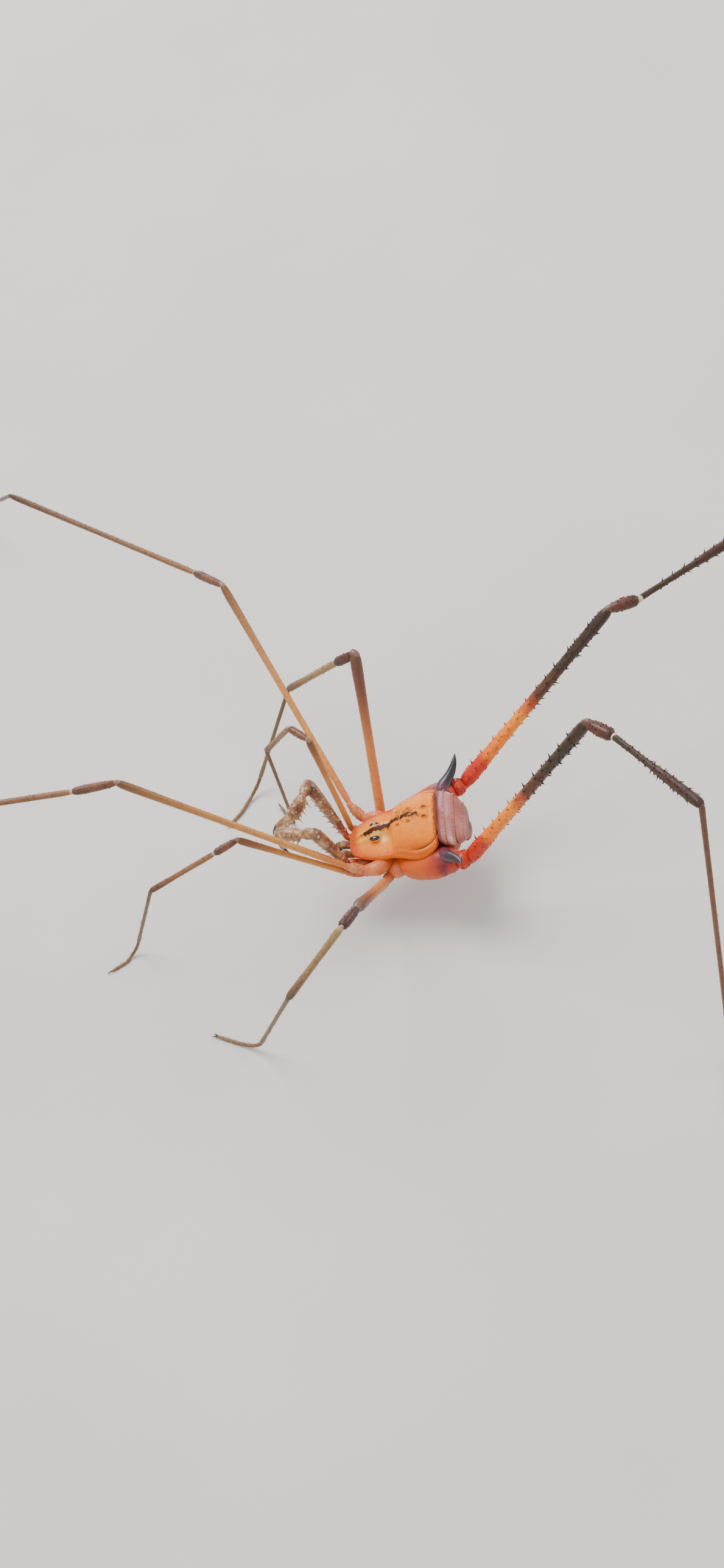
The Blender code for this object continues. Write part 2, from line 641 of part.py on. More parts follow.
def add_chelicera(side, parts):
    sign = 1 if side == "left" else -1
    points = [BODY @ mirrored(p[:3], sign) for p in CHELICERA]
    core = tube(points, [p[3] for p in CHELICERA], 10, side=Vector((1, 0, 0)))
    base = BODY @ mirrored((0.46, -5.2, -1.5), sign)
    tip = BODY @ mirrored((0.36, -4.95, -2.25), sign)
    add_node(f"chelicera_{side}", combined(core, [cone(base, tip, 0.15, 6)], "UNION"), "palp", parts)


def settle(parts):
    """Moves the animal over the origin and turns millimetres into metres."""
    corners = [vert.co for obj in parts.objects for vert in obj.data.vertices]
    low = Vector([min(c[axis] for c in corners) for axis in range(3)])
    high = Vector([max(c[axis] for c in corners) for axis in range(3)])
    middle = (low + high) / 2
    shift = Matrix.Translation((-middle.x, -middle.y, -low.z))
    for obj in parts.objects:
        obj.data.transform(Matrix.Scale(MM, 4) @ shift)


def main():
    for obj in list(bpy.data.objects):
        bpy.data.objects.remove(obj)
    parts = bpy.data.collections.new("Harvestman")
    bpy.context.scene.collection.children.link(parts)
    draw = random.Random(SEED)
    add_node("scutum", scutum_mesh(), "scutum", parts)
    add_node("free_tergites", tergites_mesh(), "tergite", parts)
    operculum = ball(BODY @ Vector((0, 4.85, -2.05)), (1.0, 0.42, 0.3), 8)
    add_node("anal_operculum", operculum, "tergite", parts)
    add_node("coxae_and_venter", venter_mesh(), "venter", parts)
    for side, sign in (("left", 1), ("right", -1)):
        eye = ball(BODY @ mirrored(EYE_PLACE, sign), [EYE_RADIUS] * 3, 7)
        add_node(f"eye_{side}", eye, "eye", parts)
        add_chelicera(side, parts)
        add_pedipalp(side, parts)
        for pair in LENGTHS:
            add_leg(side, pair, parts, draw)
    settle(parts)


main()
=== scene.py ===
"""The harvestman's looks: a finer shell, legs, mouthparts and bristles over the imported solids.

Shapes are worked out in millimetres in the animal's own frame, as the solids are, and each
finished mesh is moved by SHIFT and scaled to metres. The body is modelled level, in the body
frame, then tipped nose down by BODY.
"""

import math
import random

import bmesh
import bpy
import numpy as np
from mathutils import Matrix, Vector


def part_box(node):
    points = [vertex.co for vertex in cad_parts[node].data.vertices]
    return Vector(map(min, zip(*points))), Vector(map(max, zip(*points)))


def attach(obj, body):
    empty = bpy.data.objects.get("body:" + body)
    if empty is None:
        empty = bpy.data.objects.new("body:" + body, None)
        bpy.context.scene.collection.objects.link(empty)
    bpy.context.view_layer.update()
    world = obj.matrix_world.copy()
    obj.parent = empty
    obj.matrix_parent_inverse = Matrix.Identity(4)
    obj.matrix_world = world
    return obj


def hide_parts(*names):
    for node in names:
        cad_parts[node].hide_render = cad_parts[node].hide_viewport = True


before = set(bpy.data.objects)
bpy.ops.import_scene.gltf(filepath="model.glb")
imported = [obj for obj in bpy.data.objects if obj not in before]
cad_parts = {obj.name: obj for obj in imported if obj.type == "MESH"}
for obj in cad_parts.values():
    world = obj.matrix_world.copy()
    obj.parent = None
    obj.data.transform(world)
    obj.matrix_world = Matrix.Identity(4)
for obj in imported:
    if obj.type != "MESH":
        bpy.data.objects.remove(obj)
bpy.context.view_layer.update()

MM = 0.001

# Sizes and places, the same as the solids': each curve is a row of knots, a place and its value
FRONT = -3.9
REAR = 3.5
BODY_HEIGHT = 7.5
NOSE_DOWN = 10
RIM = 0.4
STEP_Y = -0.25
EYE_RADIUS = 0.3
EYE_PLACE = (0.56, -1.75, 0.52)
HALF_WIDTH = (
    (-3.9, 0.95), (-3.75, 1.25), (-3.3, 1.55), (-2.55, 1.88), (-1.5, 2.18), (-0.6, 2.27),
    (0.2, 2.52), (1.0, 2.88), (1.9, 3.1), (2.7, 2.96), (3.2, 2.62), (3.5, 2.15),
)
EDGE = ((-3.9, 0.0), (1.2, 0.0), (2.0, 0.1), (2.8, 0.36), (3.5, 0.72))
CARAPACE = ((-3.9, 0.1), (-3.2, 0.2), (-2.2, 0.28), (-0.6, 0.34))
OCULARIUM = (
    (-3.8, 0.0), (-3.2, 0.16), (-2.6, 0.35), (-2.1, 0.54), (-1.7, 0.66), (-1.0, 0.66), (-0.5, 0.6),
)
OCULARIUM_HALF_WIDTH = 0.5
ABDOMEN = (
    (-0.6, 1.25), (0.0, 1.42), (0.5, 1.47), (1.3, 1.58), (2.2, 1.36), (2.9, 0.98), (3.5, 0.5),
)
# y and depth of each groove; x, y and radius of each knob
AREA_GROOVES = ((0.95, 0.05), (1.95, 0.05), (2.8, 0.06))
TUBERCLES = ((0.59, 0.45, 0.13), (0.6, 1.38, 0.13), (0.46, 2.62, 0.18))
# a free plate's borders: y behind the shield, half width, top and bottom
PLATES = (
    (0.0, 2.35, 1.1, -0.5), (0.55, 2.45, 0.78, -0.92), (1.15, 2.2, 0.2, -1.3),
    (1.75, 1.5, -0.75, -1.48),
)
# y, half width, middle and half height
TRUNK = (
    (-3.4, 1.1, -1.3, 0.5), (-2.6, 1.3, -1.35, 0.6), (-1.0, 1.8, -1.5, 0.78),
    (0.5, 2.1, -1.6, 0.9), (2.0, 2.3, -1.65, 0.95), (3.2, 2.2, -1.75, 0.9),
    (3.9, 1.9, -1.9, 0.6), (4.2, 1.4, -2.05, 0.35),
)
# how square the plates and the trunk are: 1 is an oval
PLATE_POWER = 0.8
TRUNK_POWER = 0.85
# femur, patella, tibia, metatarsus and tarsus
LENGTHS = {
    1: (9.9, 2.0, 6.1, 8.9, 3.2),
    2: (20.3, 3.25, 21.2, 22.4, 8.5),
    3: (13.5, 2.25, 7.55, 9.6, 4.5),
    4: (17.8, 2.35, 11.0, 22.5, 5.0),
}
# points along each coxa, and the radii there
COXAE = {
    1: (((0.9, -2.2, -1.45), (1.4, -2.9, -1.6), (1.9, -3.5, -1.65)), (0.6, 0.56, 0.42)),
    2: (((1.2, -1.1, -1.2), (2.35, -1.95, -0.8), (2.45, -3.0, -0.7)), (0.6, 0.63, 0.46)),
    3: (((1.3, -0.3, -1.75), (2.1, -0.75, -1.8), (2.35, -1.5, -2.0)), (0.7, 0.76, 0.46)),
    4: (((1.2, -0.2, -1.7), (2.4, 0.6, -1.6), (2.95, 2.1, -1.35), (3.1, 3.2, -1.1),
         (3.4, 4.15, -1.1)), (0.8, 1.0, 1.12, 1.1, 0.84)),
}
HIPS = {
    ("left", 1): (2.05, -4.5, -0.95),
    ("right", 1): (-2.05, -4.15, -0.75),
    ("left", 2): (2.15, -4.2, -0.1),
    ("right", 2): (-3.35, -3.75, 0.25),
    ("left", 3): (3.2, -1.8, -1.7),
    ("right", 3): (-3.1, -2.0, -1.8),
    ("left", 4): (3.25, 5.2, -1.3),
    ("right", 4): (-3.9, 5.05, -1.3),
}
# heading and climb of femur, patella and tibia, then the headings of metatarsus and tarsus
STANCE = {
    ("left", 1): ((-84.8, 44.1), (-63.6, -2.6), (-81.1, -22.5), -111.2, -60),
    ("right", 1): ((-42.6, 79.9), (-47.4, 2.8), (-53.1, -52.8), -42.1, -28),
    ("left", 2): ((-88.1, 46.2), (-80.4, 6.6), (-95.0, -6.1), -95, -95),
    ("right", 2): ((-26.7, 31.2), (-47.7, -6.5), (-51.5, -2.0), -35.4, -35.2),
    ("left", 3): ((-1.5, 47.3), (-31.6, 10.3), (-70.7, -44.3), -117.1, -117.1),
    ("right", 3): ((3.7, 58.3), (-72.1, -35.1), (-62.7, -42.4), -111.5, -140),
    ("left", 4): ((88.2, 52.7), (48.7, -0.1), (30.7, 14.8), -8.4, -8.7),
    ("right", 4): ((63.7, 34.5), (73.2, -4.4), (58.3, -1.3), 58.1, 58.1),
}
ANKLE_HEIGHT = 1.5
TOE_FLAT = 1.3
APOPHYSIS_BASE = (3.4, 3.75, -0.25)
APOPHYSIS = (1.8, 1.2, 1.35)
# the joint before, the share of the way to the next one, and the radius there
PALP_ARM = (
    (0, 0, 0.26), (0, 0.6, 0.34), (1, 0, 0.27), (1, 0.1, 0.27), (1, 0.3, 0.36), (1, 0.6, 0.45),
    (1, 0.9, 0.48), (2, 0.0, 0.36), (2, 0.15, 0.36), (2, 0.6, 0.47), (3, 0, 0.3),
)
PALP_HAND = (
    (3, 0.0, 0.27), (3, 0.15, 0.38), (3, 0.45, 0.48), (3, 0.8, 0.48), (4, -0.02, 0.31),
    (4, 0.1, 0.35), (4, 0.4, 0.35), (4, 0.8, 0.26), (5, 0.0, 0.16),
)
PALP_JOINTS = {
    "left": ((1.08, -3.67, -1.3), (1.28, -4.5, -0.75), (1.5, -5.26, 4.17), (1.0, -6.35, 3.6),
             (0.25, -8.4, 3.7), (0.7, -8.6, 2.3), (0.75, -8.15, 1.4)),
    "right": ((-1.08, -3.67, -1.3), (-1.28, -4.5, -0.75), (-3.8, -5.95, 3.65),
              (-2.5, -6.2, 4.0), (-1.4, -7.55, 3.15), (-1.0, -8.95, 2.9), (-0.85, -9.35, 2.1)),
}

# trochanter to tarsus, all a little slimmer than the solids'
RADII = {
    1: (0.34, 0.27, 0.29, 0.22, 0.15, 0.13),
    2: (0.40, 0.30, 0.33, 0.24, 0.16, 0.14),
    3: (0.40, 0.43, 0.39, 0.28, 0.17, 0.15),
    4: (0.7, 0.50, 0.47, 0.37, 0.21, 0.18),
}
# a share of the way along a segment, and of its radius there
TROCHANTER_SHAPE = ((0, 0.66), (0.12, 0.86), (0.4, 1.0), (0.75, 0.98), (0.92, 0.84), (1, 0.62))
FEMUR_SHAPE = (
    (0, 0.6), (0.015, 0.72), (0.05, 0.88), (0.35, 0.84), (0.7, 0.9), (0.93, 1.06), (0.98, 0.98),
    (1, 0.74),
)
REAR_FEMUR_SHAPE = (
    (0, 0.86), (0.015, 1.08), (0.04, 1.2), (0.1, 1.15), (0.2, 1.0), (0.45, 0.88), (0.7, 0.82),
    (0.93, 0.93), (0.98, 0.86), (1, 0.66),
)
PATELLA_SHAPE = ((0, 0.6), (0.08, 0.78), (0.35, 0.98), (0.72, 1.04), (0.93, 0.92), (1, 0.66))
TIBIA_SHAPE = (
    (0, 0.72), (0.02, 0.9), (0.08, 0.98), (0.5, 0.9), (0.92, 1.06), (0.98, 0.98), (1, 0.74),
)
CLUB_TIBIA_SHAPE = (
    (0, 0.56), (0.02, 0.66), (0.1, 0.64), (0.42, 0.66), (0.58, 0.92), (0.93, 1.06), (0.985, 0.94),
    (1, 0.7),
)
METATARSUS_SHAPE = (
    (0, 0.85), (0.01, 1.08), (0.05, 1.0), (0.5, 0.9), (0.86, 0.9), (0.88, 0.98), (0.98, 1.04),
    (1, 0.8),
)
TARSOMERES = {1: 6, 2: 14, 3: 8, 4: 9}
SIDES = ((1, "left"), (-1, "right"))
SEGMENTS = ("trochanter", "femur", "patella", "tibia", "metatarsus", "tarsus")
SEGMENT_SLOTS = ("trochanter", "femur", "dark", "tibia", "tarsus", "tarsus")
JOINT_TONES = (0, 0.35, 0.65, 1, 1)  # what tells the joints apart after each of the five segments
BRISTLES_PER_MM = (5, 6, 8, 9, 10, 26)  # trochanter to tarsus

# leg IV: granules (how many, first and last place, radii), rows of spines (angles, how many, first
# place, lengths), and the spines' thickness, lean and tone
REAR_RELIEF = {
    "femur": (
        (260, (0.03, 0.97), (0.035, 0.08)),
        (((58, 122), 12, 0.1, (0.216, 0.414)), ((-20, 200), 8, 0.42, (0.24, 0.46)),
         ((-60, 240), 9, 0.3, (0.144, 0.276))),
        (0.075, 0.45, 0.55),
    ),
    "tibia": (
        (130, (0.05, 0.97), (0.03, 0.06)),
        (((60, 120), 8, 0.2, (0.18, 0.38)), ((-10, 190), 7, 0.4, (0.18, 0.38)),
         ((-60, 240), 7, 0.3, (0.18, 0.38))),
        (0.06, 0.5, 0.5),
    ),
}

# a chelicera's two segments and two fingers: x, y, z and radius in the body frame
CHELICERA_BASE = (
    (0.42, -3.5, -1.1, 0.24), (0.43, -3.9, -1.02, 0.27), (0.44, -4.3, -0.88, 0.29),
    (0.46, -4.75, -0.62, 0.35), (0.47, -4.95, -0.55, 0.3),
)
CHELICERA_HAND = (
    (0.47, -4.95, -0.58, 0.22), (0.48, -5.12, -0.62, 0.35), (0.48, -5.36, -1.0, 0.37),
    (0.47, -5.41, -1.45, 0.3), (0.46, -5.42, -1.72, 0.2),
)
FIXED_FINGER = ((0.46, -5.44, -1.6, 0.15), (0.43, -5.42, -1.95, 0.1), (0.38, -5.3, -2.3, 0.03))
MOVING_FINGER = ((0.46, -5.2, -1.5, 0.14), (0.44, -5.08, -1.85, 0.095), (0.37, -5.0, -2.22, 0.028))

# a pedipalp hand's rows of spines: the segment, where they stand on it, how far from its middle
# their feet are, and which way it is to the inner side
PALP_SPINES = (
    (3, (0.22, 0.4, 0.58, 0.76, 0.92), 0.38, (0, 0.45, -1)),
    (4, (0.15, 0.35, 0.55, 0.75), 0.28, (0, 1, 0.1)),
)


def curve_at(knots, y):
    """Value at y of a smooth curve through the knots, flat beyond them."""
    if y <= knots[0][0]:
        return knots[0][1]
    if y >= knots[-1][0]:
        return knots[-1][1]
    i = max(k for k in range(len(knots) - 1) if knots[k][0] <= y)
    before = knots[max(i - 1, 0)]
    a, b = knots[i], knots[i + 1]
    after = knots[min(i + 2, len(knots) - 1)]
    span = b[0] - a[0]
    slope_a = (b[1] - before[1]) / (b[0] - before[0]) * span
    slope_b = (after[1] - a[1]) / (after[0] - a[0]) * span
    t = (y - a[0]) / span
    return (
        (2 * t**3 - 3 * t**2 + 1) * a[1]
        + (t**3 - 2 * t**2 + t) * slope_a
        + (3 * t**2 - 2 * t**3) * b[1]
        + (t**3 - t**2) * slope_b
    )


def body_frame():
    hinge = Matrix.Translation((0, REAR, BODY_HEIGHT))
    return hinge @ Matrix.Rotation(math.radians(NOSE_DOWN), 4, "X") @ Matrix.Translation((0, -REAR, 0))


BODY = body_frame()
BODY_ARRAY = np.array(BODY)


def mirrored(point, sign):
    return Vector((sign * point[0], point[1], point[2]))


def find_shift():
    """From the animal's frame to the part's, in millimetres: the eye is where the solids have it."""
    low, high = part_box("eye_left")
    return (low + high) / 2 / MM - BODY @ mirrored(EYE_PLACE, 1)


SHIFT = find_shift()


def direction(sign, heading, climb):
    h, c = math.radians(heading), math.radians(climb)
    return Vector((sign * math.cos(h) * math.cos(c), math.sin(h) * math.cos(c), math.sin(c)))


def across(along):
    """A level unit vector square to a direction, or for an upright one, one near +X."""
    level = Vector((-along.y, along.x, 0))
    if level.length > 0.05:
        return level.normalized()
    return (Vector((1, 0, 0)) - along.x * along).normalized()


def outward(way, angle):
    """The direction square to a way at an angle round it."""
    x_axis = across(way)
    return math.cos(angle) * x_axis + math.sin(angle) * way.cross(x_axis)


def any_angle(draw):
    return draw.uniform(0, 2 * math.pi)


def on_oval(angle, y, width, middle, height, power):
    """A point of an oval section in the body frame, the squarer the lower the power."""
    c, s = (math.copysign(abs(v) ** power, v) for v in (math.cos(angle), math.sin(angle)))
    return width * c, y, middle + height * s


def closed_rings(rows, columns):
    """Faces of closed rings of vertices, rows by columns, with both ends capped."""
    faces = []
    for r in range(rows - 1):
        for c in range(columns):
            n = (c + 1) % columns
            a, b = r * columns, (r + 1) * columns
            faces.append((a + c, a + n, b + n, b + c))
    faces.append(tuple(range(columns))[::-1])
    faces.append(tuple(range((rows - 1) * columns, rows * columns)))
    return faces


def refined(path, radii, steps, places=None):
    """A path and its radii through many more points; places are where the given ones are."""
    if places is None:
        places = [i / (len(path) - 1) for i in range(len(path))]
    knots = [list(zip(places, values)) for values in (*zip(*path), radii)]
    rows = [[curve_at(k, places[-1] * step / steps) for k in knots] for step in range(steps + 1)]
    return [tuple(row[:3]) for row in rows], [row[3] for row in rows]


def refined_in_body(stations, sign, steps):
    """A fine path and radii through stations of x, y, z and radius in the body frame."""
    path = [BODY @ mirrored(station, sign) for station in stations]
    return refined(path, [station[3] for station in stations], steps)


def linked(name, data):
    """A new object in the scene."""
    obj = bpy.data.objects.new(name, data)
    bpy.context.scene.collection.objects.link(obj)
    return obj


class Mesh:
    """Vertices, faces and the per-vertex values that the materials read."""

    def __init__(self):
        self.points = []
        self.faces = []
        self.values = {"along": [], "tone": []}
        self.places = []
        self.roots = []
        self.count = 0

    def add(self, points, faces, along, tone=0.0, place=None, root=(0.0, 0.0)):
        points = np.asarray(points, float)
        size = len(points)
        self.faces += [tuple(int(v) + self.count for v in face) for face in faces]
        self.points.append(points)
        self.values["along"].append(np.broadcast_to(np.asarray(along, float), size))
        self.values["tone"].append(np.broadcast_to(np.asarray(tone, float), size))
        self.places.append(np.broadcast_to(np.asarray(points if place is None else place, float), (size, 3)))
        self.roots.append(np.broadcast_to(np.asarray(root, float), (size, 2)))
        self.count += size

    def add_in_body(self, points, faces, along, tone=0.0):
        """Adds body-frame points, which the materials then read as their place."""
        points = np.array(points)
        self.add(points @ BODY_ARRAY[:3, :3].T + BODY_ARRAY[:3, 3], faces, along, tone, points)

    def make(self, name, finish, nodes, slot, uv=False):
        """The finished piece, riding on the body and standing for the CAD nodes named."""
        points = (np.concatenate(self.points) + np.array(SHIFT)) * MM
        data = bpy.data.meshes.new(name)
        data.from_pydata(points.tolist(), [], self.faces)
        for key, parts in self.values.items():
            layer = data.attributes.new(key, "FLOAT", "POINT")
            layer.data.foreach_set("value", np.concatenate(parts).astype(np.float32))
        layer = data.attributes.new("place", "FLOAT_VECTOR", "POINT")
        layer.data.foreach_set("vector", np.concatenate(self.places).astype(np.float32).ravel())
        if uv:
            roots = np.concatenate(self.roots)
            corners = np.zeros(len(data.loops), np.int32)
            data.loops.foreach_get("vertex_index", corners)
            uv_layer = data.uv_layers.new(name="OFBake")
            uv_layer.data.foreach_set("uv", roots[corners].astype(np.float32).ravel())
        shell = bmesh.new()
        shell.from_mesh(data)
        bmesh.ops.recalc_face_normals(shell, faces=shell.faces)
        shell.to_mesh(data)
        shell.free()
        data.polygons.foreach_set("use_smooth", [True] * len(data.polygons))
        data.validate()
        data.materials.append(finish)
        obj = linked(name, data)
        if nodes:
            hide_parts(*nodes)
        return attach(obj, "root")


def path_axes(path, axis):
    """Unit tangents and two cross axes at each point of a path, carried along without twist."""
    tangents = np.gradient(path, axis=0)
    tangents /= np.linalg.norm(tangents, axis=1)[:, None]
    x = np.array(axis if axis is not None else across(Vector(tangents[0])), float)
    xs = []
    for t in tangents:
        x = x - x.dot(t) * t
        x /= np.linalg.norm(x)
        xs.append(x)
    xs = np.array(xs)
    return tangents, xs, np.cross(tangents, xs)


def loft(mesh, path, radii, sides, domes=(0.5, 0.5), axis=None, tone=0.0, along=None, place=None):
    """Rings along a path, with rounded ends: a dome is as deep as that share of its end's radius."""
    path = np.array(path, float)
    tangents, xs, ys = path_axes(path, axis)
    if along is None:
        steps = np.linalg.norm(np.diff(path, axis=0), axis=1)
        along = np.concatenate([[0], np.cumsum(steps)]) / steps.sum()
    rings = [(path[i], tangents[i], xs[i], ys[i], radii[i], along[i]) for i in range(len(path))]
    for end, depth in ((0, domes[0]), (-1, domes[1])):
        if not depth:
            continue
        sign = -1 if end == 0 else 1
        centre, t, x, y, radius, where = rings[end]
        extra = []
        for phi in (22, 45, 66, 84):
            bulge = math.radians(phi)
            extra.append((centre + sign * t * radius * depth * math.sin(bulge), t, x, y,
                          radius * math.cos(bulge), where))
        rings = extra[::-1] + rings if end == 0 else rings + extra
    angles = 2 * np.pi * np.arange(sides) / sides
    points = []
    alongs = []
    for centre, t, x, y, radius, where in rings:
        points.append(centre + radius * (np.cos(angles)[:, None] * x + np.sin(angles)[:, None] * y))
        alongs += [where] * sides
    mesh.add(np.concatenate(points), closed_rings(len(rings), sides), alongs, tone, place)


def spine(mesh, foot, tip, radius, bend=(0, 0, 0), tone=1.0, sides=7, along=0.0, socket=1.35):
    """A tapered spine from a swollen socket to a fine tip, with the tone growing to its tip."""
    stations = (
        (-0.16, 1.0, 0), (0, socket, 0), (0.07, 1.12, 0.35), (0.12, 0.9, 0.8), (0.35, 0.68, 1),
        (0.6, 0.45, 1), (0.82, 0.25, 1), (1, 0.07, 1),
    )
    foot, tip, bend = Vector(foot), Vector(tip), Vector(bend)
    path = [foot + (tip - foot) * t + bend * max(t, 0) ** 2 for t, _, _ in stations]
    loft(mesh, path, [radius * scale for _, scale, _ in stations], sides, domes=(0, 0.6),
         axis=across((tip - foot).normalized()), along=[along] * len(path))
    tones = np.full(len(mesh.values["tone"][-1]), tone)
    tones[: sides * len(path)] = np.repeat([tone * share for _, _, share in stations], sides)
    mesh.values["tone"][-1] = tones


def granule(mesh, foot, normal, radius, height, along, tone=0.3, sides=8, place=None):
    """A low rounded bump on a surface."""
    normal = Vector(normal).normalized()
    bulges = [math.radians(phi) for phi in (-25, 5, 30, 55, 75)]
    path = [Vector(foot) + normal * height * math.sin(bulge) for bulge in bulges]
    loft(mesh, path, [radius * math.cos(bulge) for bulge in bulges], sides, domes=(0, 0.3),
         axis=across(normal), tone=tone, along=[along] * len(path), place=place)


# Materials: a small kit of shader nodes, then one function for each kind of surface


def rgb(r, g, b):
    """Linear colour of an sRGB one in 0 to 255."""
    made = []
    for c in (r, g, b):
        c /= 255
        made.append(c / 12.92 if c <= 0.04045 else ((c + 0.055) / 1.055) ** 2.4)
    return (*made, 1.0)


class Nodes:
    """Builds one material's node tree, with the colour laid on in layers."""

    def __init__(self, name):
        self.material = bpy.data.materials.new(name)
        self.material.use_nodes = True
        self.tree = self.material.node_tree
        self.coords = self.node("ShaderNodeTexCoord").outputs["Object"]
        self.colour = None

    def fill(self, node, inputs):
        """Links or sets a node's inputs, by their names or numbers."""
        for key, value in inputs.items():
            if isinstance(value, bpy.types.NodeSocket):
                self.tree.links.new(value, node.inputs[key])
            else:
                node.inputs[key].default_value = value

    def node(self, kind, inputs=None, **settings):
        made = self.tree.nodes.new(kind)
        for key, value in settings.items():
            setattr(made, key, value)
        self.fill(made, inputs or {})
        return made

    def value(self, name):
        return self.node("ShaderNodeAttribute", attribute_name=name).outputs["Fac"]

    def place(self):
        """The three coordinates in the body frame, in millimetres."""
        vector = self.node("ShaderNodeAttribute", attribute_name="place").outputs["Vector"]
        return self.node("ShaderNodeSeparateXYZ", {0: vector}).outputs

    def math(self, operation, a, b=0.0):
        return self.node("ShaderNodeMath", {0: a, 1: b}, operation=operation).outputs[0]

    def plus(self, a, b):
        return self.math("ADD", a, b)

    def times(self, a, b):
        return self.math("MULTIPLY", a, b)

    def highest(self, a, b):
        return self.math("MAXIMUM", a, b)

    def size(self, a):
        return self.math("ABSOLUTE", a)

    def swing(self, noise, width):
        """A noise in 0 to 1 as a shift to either side of 0."""
        return self.times(self.math("SUBTRACT", noise, 0.5), width)

    def band(self, x, centre, width):
        """1 at the centre, falling smoothly to 0 a few widths away."""
        d = self.math("DIVIDE", self.math("SUBTRACT", x, centre), width)
        return self.math("POWER", 2.718, self.times(self.times(d, d), -1.0))

    def step(self, x, low, high):
        """0 below low, 1 above high, smooth between; high may be the lower one."""
        inputs = {"Value": x, "From Min": low, "From Max": high}
        return self.node("ShaderNodeMapRange", inputs, interpolation_type="SMOOTHSTEP").outputs[0]

    def noise(self, per_mm, detail=3.0, roughness=0.55, stretch=None):
        source = self.coords
        if stretch:
            source = self.node("ShaderNodeMapping", {"Vector": source, "Scale": stretch}).outputs[0]
        inputs = {"Vector": source, "Scale": per_mm / MM, "Detail": detail, "Roughness": roughness}
        return self.node("ShaderNodeTexNoise", inputs).outputs["Fac"]

    def cells(self, per_mm):
        inputs = {"Vector": self.coords, "Scale": per_mm / MM}
        return self.node("ShaderNodeTexVoronoi", inputs).outputs["Distance"]

    def mix(self, factor, a, b, blend="MIX"):
        inputs = {0: factor, 6: a, 7: b}
        return self.node("ShaderNodeMix", inputs, data_type="RGBA", blend_type=blend).outputs[2]

    def paint(self, x, stops):
        """The first layer: a ramp of places and colours."""
        made = self.node("ShaderNodeValToRGB", {0: x})
        elements = made.color_ramp.elements
        while len(elements) < len(stops):
            elements.new(0.5)
        for element, (place, colour) in zip(elements, stops):
            element.position = place
            element.color = rgb(*colour)
        self.colour = made.outputs["Color"]

    def tint(self, shade, where, strength=1):
        """A further layer of one colour where the mask is 1, as strongly as given."""
        if strength != 1:
            where = self.times(where, strength)
        self.colour = self.mix(where, self.colour, rgb(*shade))

    def rough(self, base, spread):
        """A roughness that wanders about its base."""
        return self.plus(self.times(self.noise(2.2), 2 * spread), base - spread)

    def finish(self, roughness, bumps, coat, coat_roughness=0.15, specular=0.5, subsurface=0.0):
        """Links the surface up: bumps are (height, millimetres, strength) from coarse to fine."""
        surface = {"Base Color": self.colour, "Roughness": roughness, "Specular IOR Level": specular,
                   "Coat Weight": coat, "Coat Roughness": coat_roughness}
        if subsurface:
            surface |= {"Subsurface Weight": subsurface, "Subsurface Radius": (1.0, 0.45, 0.25),
                        "Subsurface Scale": 0.35 * MM}
        for height, depth, strength in bumps:
            bump = {"Height": height, "Distance": depth * MM, "Strength": strength}
            if "Normal" in surface:
                bump["Normal"] = surface["Normal"]
            surface["Normal"] = self.node("ShaderNodeBump", bump).outputs[0]
        self.fill(self.tree.nodes["Principled BSDF"], surface)
        return self.material


